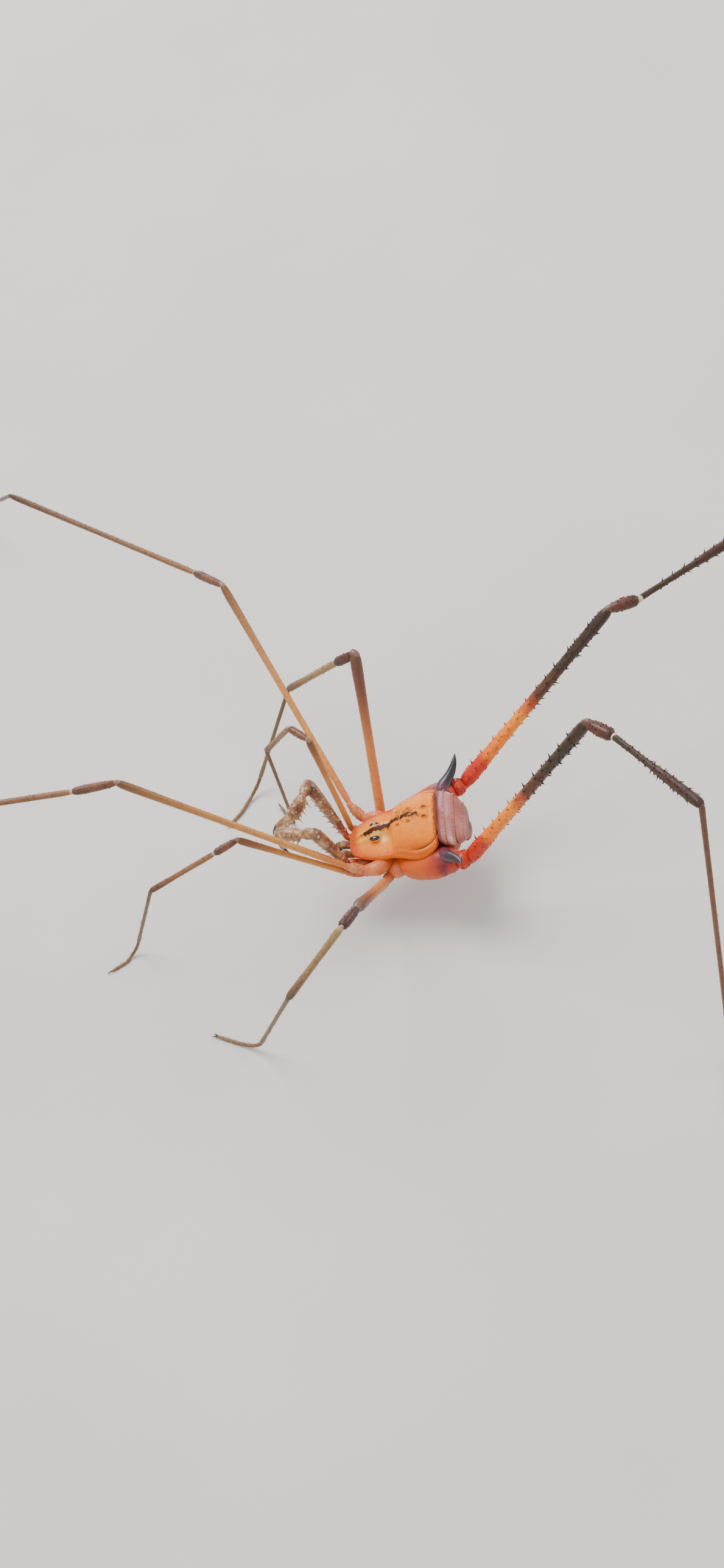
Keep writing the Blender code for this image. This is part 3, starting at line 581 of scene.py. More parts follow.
def shield_material():
    """The orange dorsal shield, with its brown midline, spots, groove and dark rear border, and painted
    shade and highlights.
    """
    n = Nodes("shield_orange")
    x, y, _ = n.place()
    far = n.size(x)
    side = n.value("along")
    wide = n.noise(0.55, 4)
    fine = n.noise(2.6, 4)
    speckle = n.noise(7.0, 4, 0.7)
    n.paint(wide, ((0.3, (234, 104, 8)), (0.5, (246, 124, 14)), (0.72, (252, 140, 24))))
    n.tint((212, 84, 10), n.step(fine, 0.5, 0.7), 0.45)
    n.tint((186, 66, 10), n.step(speckle, 0.54, 0.68), 0.3)
    n.tint((255, 176, 70), n.step(speckle, 0.44, 0.32), 0.3)
    # painted shade and light: the flanks darker and the top of the hump lighter; the front is redder
    n.tint((206, 84, 18), n.step(side, 0.74, 1.0), 0.55)
    n.tint((204, 66, 22), n.step(n.plus(y, n.times(fine, 0.4)), -2.75, -3.5), 0.85)
    painted_top_light = n.times(n.step(side, 0.95, 0.5), n.step(y, -3.4, -2.8))
    n.tint((255, 154, 32), painted_top_light, 0.5)
    # painted highlights: a pale streak along the eye ridge, and a pale patch behind each eye
    length = n.times(n.step(y, -3.5, -2.9), n.step(y, -0.45, -0.85))
    crest_highlight = n.times(n.times(n.band(far, 0.36, 0.1), length), n.step(fine, 0.15, 0.5))
    n.tint((255, 212, 104), crest_highlight, 0.85)
    eye_highlight_patch = n.times(n.band(far, 0.7, 0.24), n.band(y, -1.08, 0.32))
    n.tint((255, 232, 158), eye_highlight_patch, 0.95)
    # the broken brown midline, ragged and fading into spots behind; in front it is one solid, wider line
    # along the eye ridge, partly painted shade of the ridge's far side
    wander = n.plus(x, n.times(n.swing(n.noise(0.9, 2), n.step(y, -0.8, 0.4)), 0.5))
    ragged = n.swing(n.noise(3.4, 4, 0.7), 0.7)
    taper = n.times(n.plus(n.step(y, -2.3, -3.3), n.step(y, 1.5, 2.6)), 0.3)
    edges = n.plus(n.plus(n.size(wander), ragged), taper)
    midline_and_ridge_shade = n.highest(n.step(edges, 0.3, 0.14), n.times(n.step(edges, 0.32, 0.18), n.step(y, -0.4, -0.9)))
    broken = n.highest(n.step(n.noise(1.9, 2), 0.34, 0.46), n.step(y, 0.2, -0.5))
    marks_and_ridge_shade = n.times(n.times(midline_and_ridge_shade, broken), n.step(y, 2.7, 2.3))
    blur = n.times(n.band(wander, 0.05, 0.66), n.times(n.step(y, -0.4, 0.3), n.step(y, 2.6, 2.0)))
    blur = n.times(blur, n.step(n.noise(2.2, 4, 0.7), 0.47, 0.58))
    marks_and_ridge_shade = n.highest(marks_and_ridge_shade, n.times(blur, 0.85))
    for spot_x, spot_y, radius in TUBERCLES:
        across_spot = n.plus(far, n.swing(n.noise(3.0, 2), 0.2))
        spot = n.times(n.band(across_spot, spot_x, radius * 0.8), n.band(y, spot_y, radius * 1.35))
        marks_and_ridge_shade = n.highest(marks_and_ridge_shade, n.times(spot, 0.95 if spot_y > 2 else 0.7))
    flecks = n.times(n.step(n.cells(1.5), 0.13, 0.07), n.step(wide, 0.5, 0.62))
    marks_and_ridge_shade = n.highest(marks_and_ridge_shade, n.times(flecks, 0.45))
    # dark brown over the midline, spots and flecks, and the painted shade along the eye ridge
    n.tint((48, 14, 2), marks_and_ridge_shade, 0.97)
    # painted shade in the groove inside the margin and a painted highlight on its paler lip; then the dark
    # rear border
    n.tint((104, 38, 10), n.times(n.band(side, 0.865, 0.022), n.step(y, 0.7, 2.0)), 0.9)
    n.tint((255, 168, 84), n.times(n.band(side, 0.91, 0.02), n.step(y, 0.7, 2.0)), 0.5)
    n.tint((104, 30, 30), n.step(n.plus(y, n.times(fine, 0.3)), 3.25, 3.58), 0.9)
    bumps = ((fine, 0.08, 0.4), (speckle, 0.03, 0.4), (n.cells(7.0), 0.02, 0.45))
    return n.finish(n.rough(0.46, 0.08), bumps, coat=0.05, coat_roughness=0.2, specular=0.14,
                    subsurface=0.08)


def plate_material():
    """The mauve free plates behind the shield: smooth, with soft folds, painted shade where each plate dips
    under the next and under the shield, and painted highlights on top.
    """
    n = Nodes("plate_mauve")
    x, y, z = n.place()
    wide = n.noise(0.7, 4)
    fine = n.noise(3.4, 4)
    n.paint(wide, ((0.3, (152, 82, 74)), (0.5, (176, 102, 88)), (0.72, (192, 126, 112))))
    n.tint((138, 72, 68), n.step(fine, 0.5, 0.72), 0.25)
    # painted shade: darker where each plate dips under the next
    n.tint((112, 50, 52), n.value("tone"), 0.55)
    # painted highlight: pinkish lilac over the top of each plate; painted shade: dark red close behind the
    # shield, under its rear edge
    lilac_highlight = n.times(n.step(n.noise(0.9, 3, stretch=(0.4, 1.2, 1.0)), 0.42, 0.62), n.step(z, 0.2, 0.9))
    n.tint((212, 168, 182), lilac_highlight, 0.5)
    n.tint((92, 34, 44), n.step(y, REAR + 0.3, REAR + 0.06), 0.85)
    # a painted highlight: a whitish bar low on each side of the second plate
    bar_highlight = n.times(n.band(n.size(x), 2.3, 0.28), n.band(y, REAR + 0.78, 0.17))
    n.tint((238, 206, 200), bar_highlight, 0.8)
    bumps = ((fine, 0.04, 0.3), (n.cells(6.5), 0.016, 0.35))
    return n.finish(n.rough(0.42, 0.08), bumps, coat=0.2, coat_roughness=0.2, specular=0.35)


def flank_material():
    """Coxa IV: orange in front, through red-brown to a purple apex, then red again."""
    n = Nodes("flank_orange")
    fine = n.noise(2.8, 4)
    shifted = n.plus(n.value("along"), n.swing(n.noise(0.7, 4), 0.2))
    n.paint(shifted, (
        (0.0, (214, 100, 32)), (0.5, (214, 94, 30)), (0.68, (200, 76, 34)), (0.8, (150, 48, 44)),
        (0.88, (112, 40, 54)), (0.95, (172, 56, 44)), (1.0, (190, 60, 42)),
    ))
    n.tint((168, 60, 24), n.step(fine, 0.5, 0.75), 0.25)
    n.tint((116, 42, 22), n.step(n.cells(3.2), 0.16, 0.08), 0.3)
    bumps = ((fine, 0.05, 0.3), (n.cells(6.0), 0.02, 0.4))
    return n.finish(n.rough(0.42, 0.08), bumps, coat=0.12, coat_roughness=0.2, specular=0.3,
                    subsurface=0.08)


def belly_material():
    """The underside: orange-brown, paler between its plates."""
    n = Nodes("belly_brown")
    fine = n.noise(2.6, 4)
    n.paint(n.noise(0.6, 4), ((0.3, (150, 66, 34)), (0.52, (176, 84, 44)), (0.74, (196, 108, 62))))
    n.tint((122, 50, 32), n.step(fine, 0.5, 0.72), 0.35)
    n.tint((196, 126, 86), n.value("tone"), 0.5)
    bumps = ((fine, 0.05, 0.4), (n.cells(5.5), 0.02, 0.4))
    return n.finish(n.rough(0.4, 0.1), bumps, coat=0.25, coat_roughness=0.2)


def limb_material(name, stops, spine_colour, coat, rough, mottle, dark):
    """A leg segment whose colour changes from its near end, 0, to its far end, 1."""
    n = Nodes(name)
    wide = n.noise(0.9, 4)
    fine = n.noise(3.2, 4)
    n.paint(n.plus(n.value("along"), n.swing(wide, 0.09)), stops)
    n.tint(dark, n.step(fine, 0.48, 0.74), mottle)
    light = n.mix(0.5, n.colour, rgb(255, 226, 180), "SOFT_LIGHT")
    n.colour = n.mix(n.times(n.step(wide, 0.52, 0.72), 0.6), n.colour, light)
    n.tint(spine_colour, n.value("tone"))
    bumps = ((fine, 0.06, 0.45), (n.cells(8.0), 0.016, 0.45))
    return n.finish(n.rough(rough, 0.08), bumps, coat=coat, coat_roughness=0.18, specular=0.3,
                    subsurface=0.04)


def palp_material():
    """Mouthparts: mottled grey-brown, orange-red at their roots, with whitish patches and paler spines
    painted as highlights.
    """
    n = Nodes("palp_brown")
    wide = n.noise(1.0, 4)
    fine = n.noise(3.2, 4)
    n.paint(wide, (
        (0.32, (88, 54, 36)), (0.46, (140, 92, 58)), (0.56, (170, 118, 78)), (0.7, (212, 168, 122)),
    ))
    n.tint((76, 48, 44), n.step(fine, 0.52, 0.68), 0.6)
    # painted highlights: whitish patches
    n.tint((222, 196, 168), n.step(n.cells(1.7), 0.3, 0.14), 0.6)
    root = n.step(n.plus(n.value("along"), n.times(fine, 0.2)), 0.5, 0.16)
    n.tint((206, 76, 34), root, 0.9)
    # painted highlights: spines paler towards their tips, and their tubercles pale
    n.tint((222, 190, 146), n.value("tone"), 0.8)
    bumps = ((wide, 0.1, 0.4), (fine, 0.08, 0.5), (n.cells(7.5), 0.02, 0.4))
    return n.finish(n.rough(0.36, 0.1), bumps, coat=0.35, coat_roughness=0.16, subsurface=0.06)


def skin_material(name, hip, knee, shin, ankle):
    """The soft joints of one leg, told apart by JOINT_TONES."""
    n = Nodes(name)
    fine = n.noise(3.0, 3)
    n.paint(n.plus(n.value("tone"), n.swing(fine, 0.1)), (
        (0.12, hip), (0.24, knee), (0.45, knee), (0.55, shin), (0.76, shin), (0.88, ankle),
    ))
    return n.finish(n.rough(0.42, 0.06), ((fine, 0.02, 0.35),), coat=0.25, coat_roughness=0.2)


def horn_material():
    """The big spine of coxa IV: near black with a bluish gloss, mauve at its root."""
    n = Nodes("horn_dark")
    fine = n.noise(3.0, 3, stretch=(1, 1, 0.4))
    n.paint(n.plus(n.value("along"), n.swing(fine, 0.2)), (
        (0.0, (132, 62, 72)), (0.22, (96, 52, 70)), (0.36, (50, 36, 48)), (0.6, (34, 30, 40)),
        (1.0, (26, 26, 32)),
    ))
    return n.finish(n.rough(0.34, 0.08), ((fine, 0.05, 0.4),), coat=0.6, coat_roughness=0.22)


def plain_material(name, dark, light, rough, coat, per_mm=2.5):
    """A small part in two close tones."""
    n = Nodes(name)
    fine = n.noise(per_mm, 3)
    n.paint(fine, ((0.35, dark), (0.65, light)))
    return n.finish(n.rough(rough, 0.06), ((fine, 0.02, 0.3),), coat=coat, coat_roughness=0.12)


def eye_material():
    """A glossy black eye with a faint brown depth."""
    n = Nodes("eye_black")
    fine = n.noise(5.0, 2)
    n.paint(fine, ((0.3, (8, 6, 6)), (0.7, (30, 18, 12))))
    return n.finish(0.08, ((fine, 0.004, 0.1),), coat=1.0, coat_roughness=0.03)


def floor_material():
    n = Nodes("floor_pale")
    n.paint(n.noise(0.03, 3), ((0.3, (214, 212, 207)), (0.7, (222, 220, 215))))
    return n.finish(0.75, (), coat=0.0)


# The body


def scutum_height(x, y):
    """Height of the shield's upper face in the body frame."""
    half = curve_at(HALF_WIDTH, y)
    u = min(1, abs(x) / half)
    behind = 1 / (1 + math.exp((STEP_Y - y) / 0.1))
    carapace = curve_at(CARAPACE, y) * (1 - u**2)
    carapace += curve_at(OCULARIUM, y) * math.exp(-((abs(x) / OCULARIUM_HALF_WIDTH) ** 3))
    abdomen = curve_at(ABDOMEN, y) * (1 - u**2.5)
    for place, depth in AREA_GROOVES:
        abdomen -= 0.6 * depth * (1 - u**4) * math.exp(-(((y - place - 0.2 * (1 - u)) / 0.13) ** 2))
    abdomen -= 0.1 * math.exp(-(((u - 0.86) / 0.045) ** 2))
    height = curve_at(EDGE, y) + carapace * (1 - behind) + abdomen * behind
    for spot_x, spot_y, radius in TUBERCLES:
        d = math.hypot(abs(x) - spot_x, y - spot_y) / radius
        height += 1.0 * radius * math.exp(-(d**2.4))
    eye = math.hypot(abs(x) - EYE_PLACE[0] - 0.1, y - EYE_PLACE[1])
    height += 0.05 * math.exp(-(((eye - EYE_RADIUS - 0.06) / 0.07) ** 2))
    return height


def scutum_section(y):
    """One closed cross section, with round rims: x, y, z and the share of the half width."""
    columns = 170
    rim_steps = 12
    inset = 0.12
    half = curve_at(HALF_WIDTH, y)
    edge = curve_at(EDGE, y)
    inner = half - inset
    top = []
    for c in range(columns + 1):
        s = 2 * c / columns - 1
        x = half * (0.5 * s + 0.5 * s**3)
        top.append((inner * x / half, y, scutum_height(x, y), abs(x) / half))
    turns = [math.pi * k / rim_steps for k in range(1, rim_steps)]
    middle = edge - RIM / 2
    right = [(inner + inset * math.sin(a), y, middle + RIM / 2 * math.cos(a), 1.0) for a in turns]
    left = [(-inner - inset * math.sin(a), y, middle - RIM / 2 * math.cos(a), 1.0) for a in turns]
    under = [(inner * (1 - 2 * k / rim_steps), y, edge - RIM, 1.0) for k in range(rim_steps + 1)]
    return top + right + under + left


def rounded_end(section, sign):
    """Sections that round a cut end off, drawing in towards the middle of the rim."""
    middle = curve_at(EDGE, section[0][1]) - RIM / 2
    made = []
    for phi in (25, 50, 70, 90):
        bulge = math.radians(phi)
        narrow = 1 - 0.03 * (1 - math.cos(bulge))
        thin = 0.35 + 0.65 * math.cos(bulge)
        made.append([(x * narrow, y + sign * 0.1 * math.sin(bulge), middle + (z - middle) * thin, u)
                     for x, y, z, u in section])
    return made


def scutum():
    """The dorsal shield, with a rounded rim and granules along its margins."""
    mesh = Mesh()
    rows = 260
    sections = [scutum_section(FRONT + (REAR - FRONT) * r / rows) for r in range(rows + 1)]
    sections = rounded_end(sections[0], -1)[::-1] + sections + rounded_end(sections[-1], 1)
    corners = [corner for section in sections for corner in section]
    mesh.add_in_body([corner[:3] for corner in corners], closed_rings(len(sections), len(sections[0])),
                     [corner[3] for corner in corners])

    draw = random.Random(11)
    up = BODY.to_3x3() @ Vector((0, 0, 1))

    def bead(x, y, radius, height):
        foot = Vector((x, y, scutum_height(x, y)))
        side = min(1.0, abs(x) / curve_at(HALF_WIDTH, y))
        granule(mesh, BODY @ foot, up + Vector((0.5 * x / 3, 0, 0)), radius, height, side, place=foot)

    margin_beads = 34
    for sign in (1, -1):
        for k in range(margin_beads):
            y = -2.9 + 6.1 * (k + 0.3 * draw.random()) / margin_beads
            x = sign * curve_at(HALF_WIDTH, y) * draw.uniform(0.93, 0.96)
            bead(x, y, draw.uniform(0.035, 0.055), 0.05)
    row_beads = 26
    for row in (0.5, 1.45, 2.35, 3.15, 3.38):
        for k in range(row_beads):
            u = -0.8 + 1.6 * (k + draw.uniform(-0.25, 0.25)) / (row_beads - 1)
            y = row + 0.25 * (1 - abs(u)) * (1 if row < 3 else 0.2) + draw.uniform(-0.13, 0.13)
            bead(u * curve_at(HALF_WIDTH, y) * 0.98, y, draw.uniform(0.022, 0.04), 0.035)
    for _ in range(120):
        y = draw.uniform(-3.6, 3.3)
        x = draw.uniform(-0.84, 0.84) * curve_at(HALF_WIDTH, y)
        if abs(x) > 0.75 or y > 0:
            bead(x, y, draw.uniform(0.014, 0.026), 0.022)
    for sign in (1, -1):
        for x, y, height in ((0.3, -2.3, 0.12), (0.26, -0.85, 0.1), (0.34, -1.1, 0.07)):
            bead(sign * x, y, 0.05, height)
    mesh.make("shield", shield_material(), ["scutum"], "scutum")


def plate_section(near, far, t, swell):
    """Place, half width, middle and half height of the free plates part of the way along one."""
    y, width, top, low = (a + (b - a) * t for a, b in zip(near, far))
    top += swell
    return REAR + 0.02 + y, width + swell, (top + low) / 2, (top - low) / 2


def free_plates(finish):
    """Three free tergites, each swelling and dipping under the next, with a row of granules."""
    mesh = Mesh()
    sides = 96
    plate_rings = 30
    points = []
    tones = []
    plates = list(zip(PLATES, PLATES[1:]))
    for near, far in plates:
        for ring in range(plate_rings):
            t = ring / (plate_rings - 1)
            swell = 0.1 * math.sin(math.pi * min(1.0, 0.2 + t * 0.82)) ** 0.7 - 0.05
            y, width, middle, height = plate_section(near, far, t, swell)
            for k in range(sides):
                x, _, z = on_oval(2 * math.pi * k / sides, y, width, middle, height, PLATE_POWER)
                points.append((x, y - 0.066 * (x / width) ** 2, z))
                # tone rises to 1 at each plate's rear end, where it dips under the next; the plate material
                # darkens it there as painted shade
                tones.append(max(0.0, 1 - (1 - t) / 0.1))
    mesh.add_in_body(points, closed_rings(len(points) // sides, sides), 0.5, tones)
    draw = random.Random(5)
    beads = 19
    for near, far in plates:
        section = plate_section(near, far, 0.75, 0.06)
        for k in range(beads):
            angle = math.radians(14 + 152 * (k + draw.uniform(-0.2, 0.2)) / (beads - 1))
            foot = Vector(on_oval(angle, *section, PLATE_POWER))
            normal = BODY.to_3x3() @ Vector((math.cos(angle), 0.5, math.sin(angle) + 0.3))
            granule(mesh, BODY @ foot, normal, draw.uniform(0.03, 0.05), 0.05, 0.5, 0.1)
    mesh.make("free_plates", finish, ["free_tergites"], "tergite")
    mesh = Mesh()
    ellipsoid(mesh, (0, 4.85, -2.05), (1.0, 0.42, 0.3))
    mesh.make("anal_plate", finish, ["anal_operculum"], "tergite")


def ellipsoid(mesh, centre, radii, rings=24, turn=None):
    """A closed ball in the body frame."""
    sides = 2 * rings
    points = []
    for r in range(1, rings):
        phi = math.pi * r / rings
        for k in range(sides):
            theta = 2 * math.pi * k / sides
            p = Vector((radii[0] * math.sin(phi) * math.cos(theta),
                        radii[1] * math.sin(phi) * math.sin(theta), radii[2] * math.cos(phi)))
            if turn is not None:
                p = turn @ p
            points.append(tuple(Vector(centre) + p))
    mesh.add_in_body(points, [face[::-1] for face in closed_rings(rings - 1, sides)], 0.5)


def trunk_section(y):
    """Place, half width, middle and half height of the trunk."""
    width, middle, height = (curve_at([(s[0], s[k]) for s in TRUNK], y) for k in (1, 2, 3))
    return y, width - 0.04, middle, height


def underside(belly, small):
    """The trunk with its ventral plates, the genital lid, and coxae I to III."""
    mesh = Mesh()
    rows = 150
    sides = 72
    first_plate = 0.8
    plate_length = 0.72
    points = []
    tones = []
    for row in range(rows + 1):
        y = TRUNK[0][0] + (TRUNK[-1][0] - TRUNK[0][0]) * row / rows
        fold = 0.0
        tone = 0.0
        if y > first_plate:
            phase = ((y - first_plate) / plate_length) % 1.0
            fold = 0.07 * math.sin(math.pi * phase) ** 0.5
            tone = max(0.0, 1 - min(phase, 1 - phase) / 0.1)
        y, width, middle, height = trunk_section(y)
        for k in range(sides):
            angle = 2 * math.pi * k / sides
            high = height + (fold if math.sin(angle) < 0 else -0.12)
            points.append(on_oval(angle, y, width, middle, high, TRUNK_POWER))
            tones.append(tone)
    mesh.add_in_body(points, closed_rings(rows + 1, sides), 0.5, tones)
    ellipsoid(mesh, (0, 0.1, -2.3), (0.62, 0.7, 0.3), 20)
    for sign in (1, -1):
        ellipsoid(mesh, (sign * 1.38, -3.2, -1.05), (0.5, 0.6, 0.42), 20)
    draw = random.Random(21)
    for _ in range(160):
        y, angle = draw.uniform(-2.8, 3.6), math.radians(draw.uniform(215, 325))
        foot = Vector(on_oval(angle, *trunk_section(y), TRUNK_POWER))
        normal = BODY.to_3x3() @ Vector((math.cos(angle), 0, math.sin(angle)))
        granule(mesh, BODY @ foot, normal, draw.uniform(0.03, 0.05), 0.05, 0.5, 0.0)
    mesh.make("belly", belly, ["coxae_and_venter"], "venter")

    for sign, side in SIDES:
        for pair in (1, 2, 3):
            mesh = Mesh()
            path, radii = COXAE[pair]
            scales = (0.95, 0.98, 0.94)
            stations = [(*p, r * scale) for p, r, scale in zip(path, radii, scales)]
            fine, wide = refined_in_body(stations, sign, 40)
            loft(mesh, fine, wide, 32, domes=(0.5, 0.45))
            scatter_on_path(mesh, draw, 60, fine, wide, (6, 36), 0.99, (0.025, 0.045), 0.05)
            mesh.make(f"coxa{pair}_{side}", small, ["coxae_and_venter"], "trochanter")


def scatter_on_path(mesh, draw, count, path, radii, steps, out_share, sizes, height):
    """Granules between two steps of a lofted path, their feet at a share of its radius."""
    for _ in range(count):
        i = draw.randrange(*steps)
        way = (Vector(path[i + 1]) - Vector(path[i])).normalized()
        out = outward(way, any_angle(draw))
        foot = Vector(path[i]) + out * radii[i] * out_share
        granule(mesh, foot, out, draw.uniform(*sizes), height, i / (len(path) - 1), 0.1)


def rear_coxae(flank, horn):
    """The big coxae IV and the spine on each."""
    draw = random.Random(31)
    steps = 90
    horn_steps = 48
    horn_radii = (
        (-0.3, 0.58), (-0.1, 0.56), (0.05, 0.5), (0.25, 0.4), (0.5, 0.31), (0.75, 0.21), (0.92, 0.11),
        (1.0, 0.05),
    )
    horn_bend = Vector((0, 0.22, 0))
    for sign, side in SIDES:
        mesh = Mesh()
        stations = [(*p, r * 1.03) for p, r in zip(*COXAE[4])]
        fine, wide = refined_in_body(stations, sign, steps)
        wide = [w * (1 - 0.13 * max(0.0, (i / steps - 0.94) / 0.06) ** 2) for i, w in enumerate(wide)]
        loft(mesh, fine, wide, 64, domes=(0.5, 0.3))
        scatter_on_path(mesh, draw, 110, fine, wide, (20, 88), 0.995, (0.02, 0.045), 0.04)
        mesh.make(f"coxa4_{side}", flank, ["coxae_and_venter"], "venter")

        mesh = Mesh()
        base = BODY @ mirrored(APOPHYSIS_BASE, sign)
        reach = mirrored(APOPHYSIS, sign)
        places = [-0.3 + 1.3 * step / horn_steps for step in range(horn_steps + 1)]
        path = [base + reach * t + horn_bend * math.sin(math.pi * max(t, 0)) for t in places]
        loft(mesh, path, [curve_at(horn_radii, t) for t in places], 28, domes=(0.3, 0.8))
        mesh.make(f"coxal_spine_{side}", horn, ["coxae_and_venter"], "dark")


def eyes(black, rim):
    """A long low eye on each side of the ridge, in an almond-shaped pale lid."""
    steps = 60
    for sign, side in SIDES:
        mesh = Mesh()
        centre = mirrored(EYE_PLACE, sign)
        out = Vector((sign * 0.8, -0.06, 0.6)).normalized()
        a = out.cross(Vector((0, 1, 0))).normalized()
        b = out.cross(a)
        ellipsoid(mesh, centre + out * 0.05, (0.2, 0.42, 0.26), 24, Matrix((a, b, out)).transposed())
        mesh.make(f"eyeball_{side}", black, [f"eye_{side}"], "eye")
        mesh = Mesh()
        angles = [2 * math.pi * k / steps for k in range(steps + 1)]
        path = [BODY @ (centre + out * 0.04 + 0.23 * math.cos(t) * a + 0.45 * math.sin(t) * b)
                for t in angles]
        loft(mesh, path, [0.035 + 0.03 * math.cos(t) ** 2 for t in angles], 12, domes=(0, 0))
        mesh.make(f"eye_rim_{side}", rim, (), "scutum")


# Mouthparts


def chelicera(side, sign, palp, claw):
    """A base and a hand, then two toothed fingers."""
    mesh = Mesh()
    steps = 40
    for start, stations in enumerate((CHELICERA_BASE, CHELICERA_HAND)):
        fine, wide = refined_in_body(stations, sign, steps)
        loft(mesh, fine, wide, 36, domes=(0.4, 0.5), axis=(1, 0, 0),
             along=np.linspace(start, start + 1, steps + 1))
    mesh.make(f"chelicera_{side}_hand", palp, [f"chelicera_{side}"], "palp")
    mesh = Mesh()
    steps = 24
    for stations, way in ((FIXED_FINGER, 1), (MOVING_FINGER, -1)):
        fine, wide = refined_in_body(stations, sign, steps)
        loft(mesh, fine, wide, 16, domes=(0.3, 0.6), axis=(1, 0, 0))
        for k in range(5):
            foot = Vector(fine[int(steps * (0.25 + 0.13 * k))])
            spine(mesh, foot, foot + Vector((0, way * 0.13, -0.01)), 0.03, socket=1.1, sides=6)
    mesh.make(f"chelicera_{side}_fingers", claw, [f"chelicera_{side}"], "dark")


def palp_core(table, joints, start):
    """The lofted arm or hand of a pedipalp; along runs from start to start + 1."""
    mesh = Mesh()
    steps = 110
    points = [joints[k].lerp(joints[k + 1], t) for k, t, _ in table]
    places = np.concatenate([[0], np.cumsum([(b - a).length for a, b in zip(points, points[1:])])])
    fine, wide = refined(points, [radius for _, _, radius in table], steps, places)
    loft(mesh, fine, wide, 32, along=np.linspace(start, start + 1, steps + 1))
    return mesh


def palp_granules(mesh, draw, count, start, end, radii, span):
    """Granules all round one palp segment, whose radii are given along it."""
    way = (end - start).normalized()
    for _ in range(count):
        t = draw.uniform(*span)
        out = outward(way, any_angle(draw))
        foot = start.lerp(end, t) + out * curve_at(radii, t) * 0.93
        granule(mesh, foot, out, draw.uniform(0.05, 0.12), 0.08, 1.0, 0.4, 10)


def pedipalp(side, sign, palp, claw, draw):
    """A raised arm with a row of spines below, then a hand with spines in pairs, and its claw."""
    joints = [BODY @ Vector(p) for p in PALP_JOINTS[side]]
    mesh = palp_core(PALP_ARM, joints, 0)
    radii = [(t, r) for k, t, r in PALP_ARM if k == 1]
    way = (joints[2] - joints[1]).normalized()
    below = Vector((0, -1, -0.5)).normalized()
    lean = (below - below.dot(way) * way).normalized()
    for k in range(8):
        t = 0.12 + 0.105 * k
        foot = joints[1].lerp(joints[2], t) + lean * curve_at(radii, t) * 0.9
        granule(mesh, foot, lean, 0.17, 0.2, 1.0, 0.5, 12)
        spine(mesh, foot, foot + lean * (0.5 - 0.02 * k) + way * 0.1, 0.09)
    palp_granules(mesh, draw, 70, joints[1], joints[2], radii, (0.08, 0.96))
    mesh.make(f"pedipalp_{side}_arm_fine", palp, [f"pedipalp_{side}_arm"], "palp")

    mesh = palp_core(PALP_HAND, joints, 1)
    for k, places, reach, inner in PALP_SPINES:
        way = (joints[k + 1] - joints[k]).normalized()
        inward = Vector(inner)
        inward = (inward - inward.dot(way) * way).normalized()
        for lean in (1, -1):
            out = (inward + lean * 0.9 * sign * across(way)).normalized()
            for index, t in enumerate(places):
                length = 0.46 if index % 2 else 0.72
                foot = joints[k].lerp(joints[k + 1], t) + out * reach
                granule(mesh, foot, out, 0.2, 0.26, 1.5, 0.5, 12)
                spine(mesh, foot, foot + out * length + way * 0.12, 0.1, bend=way * 0.08, sides=9)
    radii = [(t, r) for k, t, r in PALP_HAND if k == 3]
    palp_granules(mesh, draw, 46, joints[3], joints[4], radii, (0.1, 0.95))
    mesh.make(f"pedipalp_{side}_hand_fine", palp, [f"pedipalp_{side}_hand"], "palp")

    mesh = Mesh()
    bow = (joints[5] - joints[4]).normalized() * 0.16
    path = [joints[5].lerp(joints[6], t) + bow * math.sin(math.pi * t) for t in np.linspace(-0.12, 1, 30)]
    loft(mesh, path, [0.14 * (1 - t) ** 0.8 + 0.02 for t in np.linspace(0, 1, 30)], 16, domes=(0.4, 0.8))
    mesh.make(f"pedipalp_{side}_claw", claw, [f"pedipalp_{side}_hand"], "dark")


# Legs


def leg_joints(side, pair):
    """Hip, knee, patella end, tibia end, ankle and toe, in the animal's frame."""
    sign = 1 if side == "left" else -1
    femur, patella, tibia, ankle_heading, toe_heading = STANCE[side, pair]
    lengths = LENGTHS[pair]
    joints = [BODY @ Vector(HIPS[side, pair])]
    for (heading, climb), length in zip((femur, patella, tibia), lengths):
        joints.append(joints[-1] + length * direction(sign, heading, climb))
    drop = min(1, (joints[-1].z - ANKLE_HEIGHT) / lengths[3])
    joints.append(joints[-1] + lengths[3] * direction(sign, ankle_heading, -math.degrees(math.asin(drop))))
    ankle = joints[-1]
    reach = math.sqrt(lengths[4] ** 2 - ankle.z**2)
    toe = ankle + reach * direction(sign, toe_heading, 0)
    toe.z = 0
    joints.append(toe)
    return joints


class Bone:
    """A straight segment: where its surface is, and which way that faces."""

    def __init__(self, start, end, shape, radius):
        self.start = start
        self.way = (end - start).normalized()
        self.length = (end - start).length
        self.shape = shape
        self.radius = radius
        self.x_axis = across(self.way)
        up = self.way.cross(self.x_axis)
        self.up = up if up.z >= 0 else -up

    def centre(self, t):
        return self.start + self.way * self.length * t

    def wide(self, t):
        return self.radius * curve_at(self.shape, t)

    def out(self, degrees):
        turn = math.radians(degrees)
        return (math.cos(turn) * self.x_axis + math.sin(turn) * self.up).normalized()

    def surface(self, t, degrees):
        return self.centre(t) + self.out(degrees) * self.wide(t)

    def mesh(self, sides):
        """Its loft, with rings closer together near its ends."""
        rings = max(24, min(110, int(self.length * 8)))
        places = [0.35 * k / rings + 0.65 * (0.5 - 0.5 * math.cos(math.pi * k / rings))
                  for k in range(rings + 1)]
        made = Mesh()
        loft(made, [self.centre(t) for t in places], [self.wide(t) for t in places], sides,
             domes=(0.7, 0.7), along=places)
        return made

    def granule(self, mesh, t, degrees, size, rise, tone, sides=8):
        granule(mesh, self.surface(t, degrees), self.out(degrees), size, size * rise, t, tone, sides)


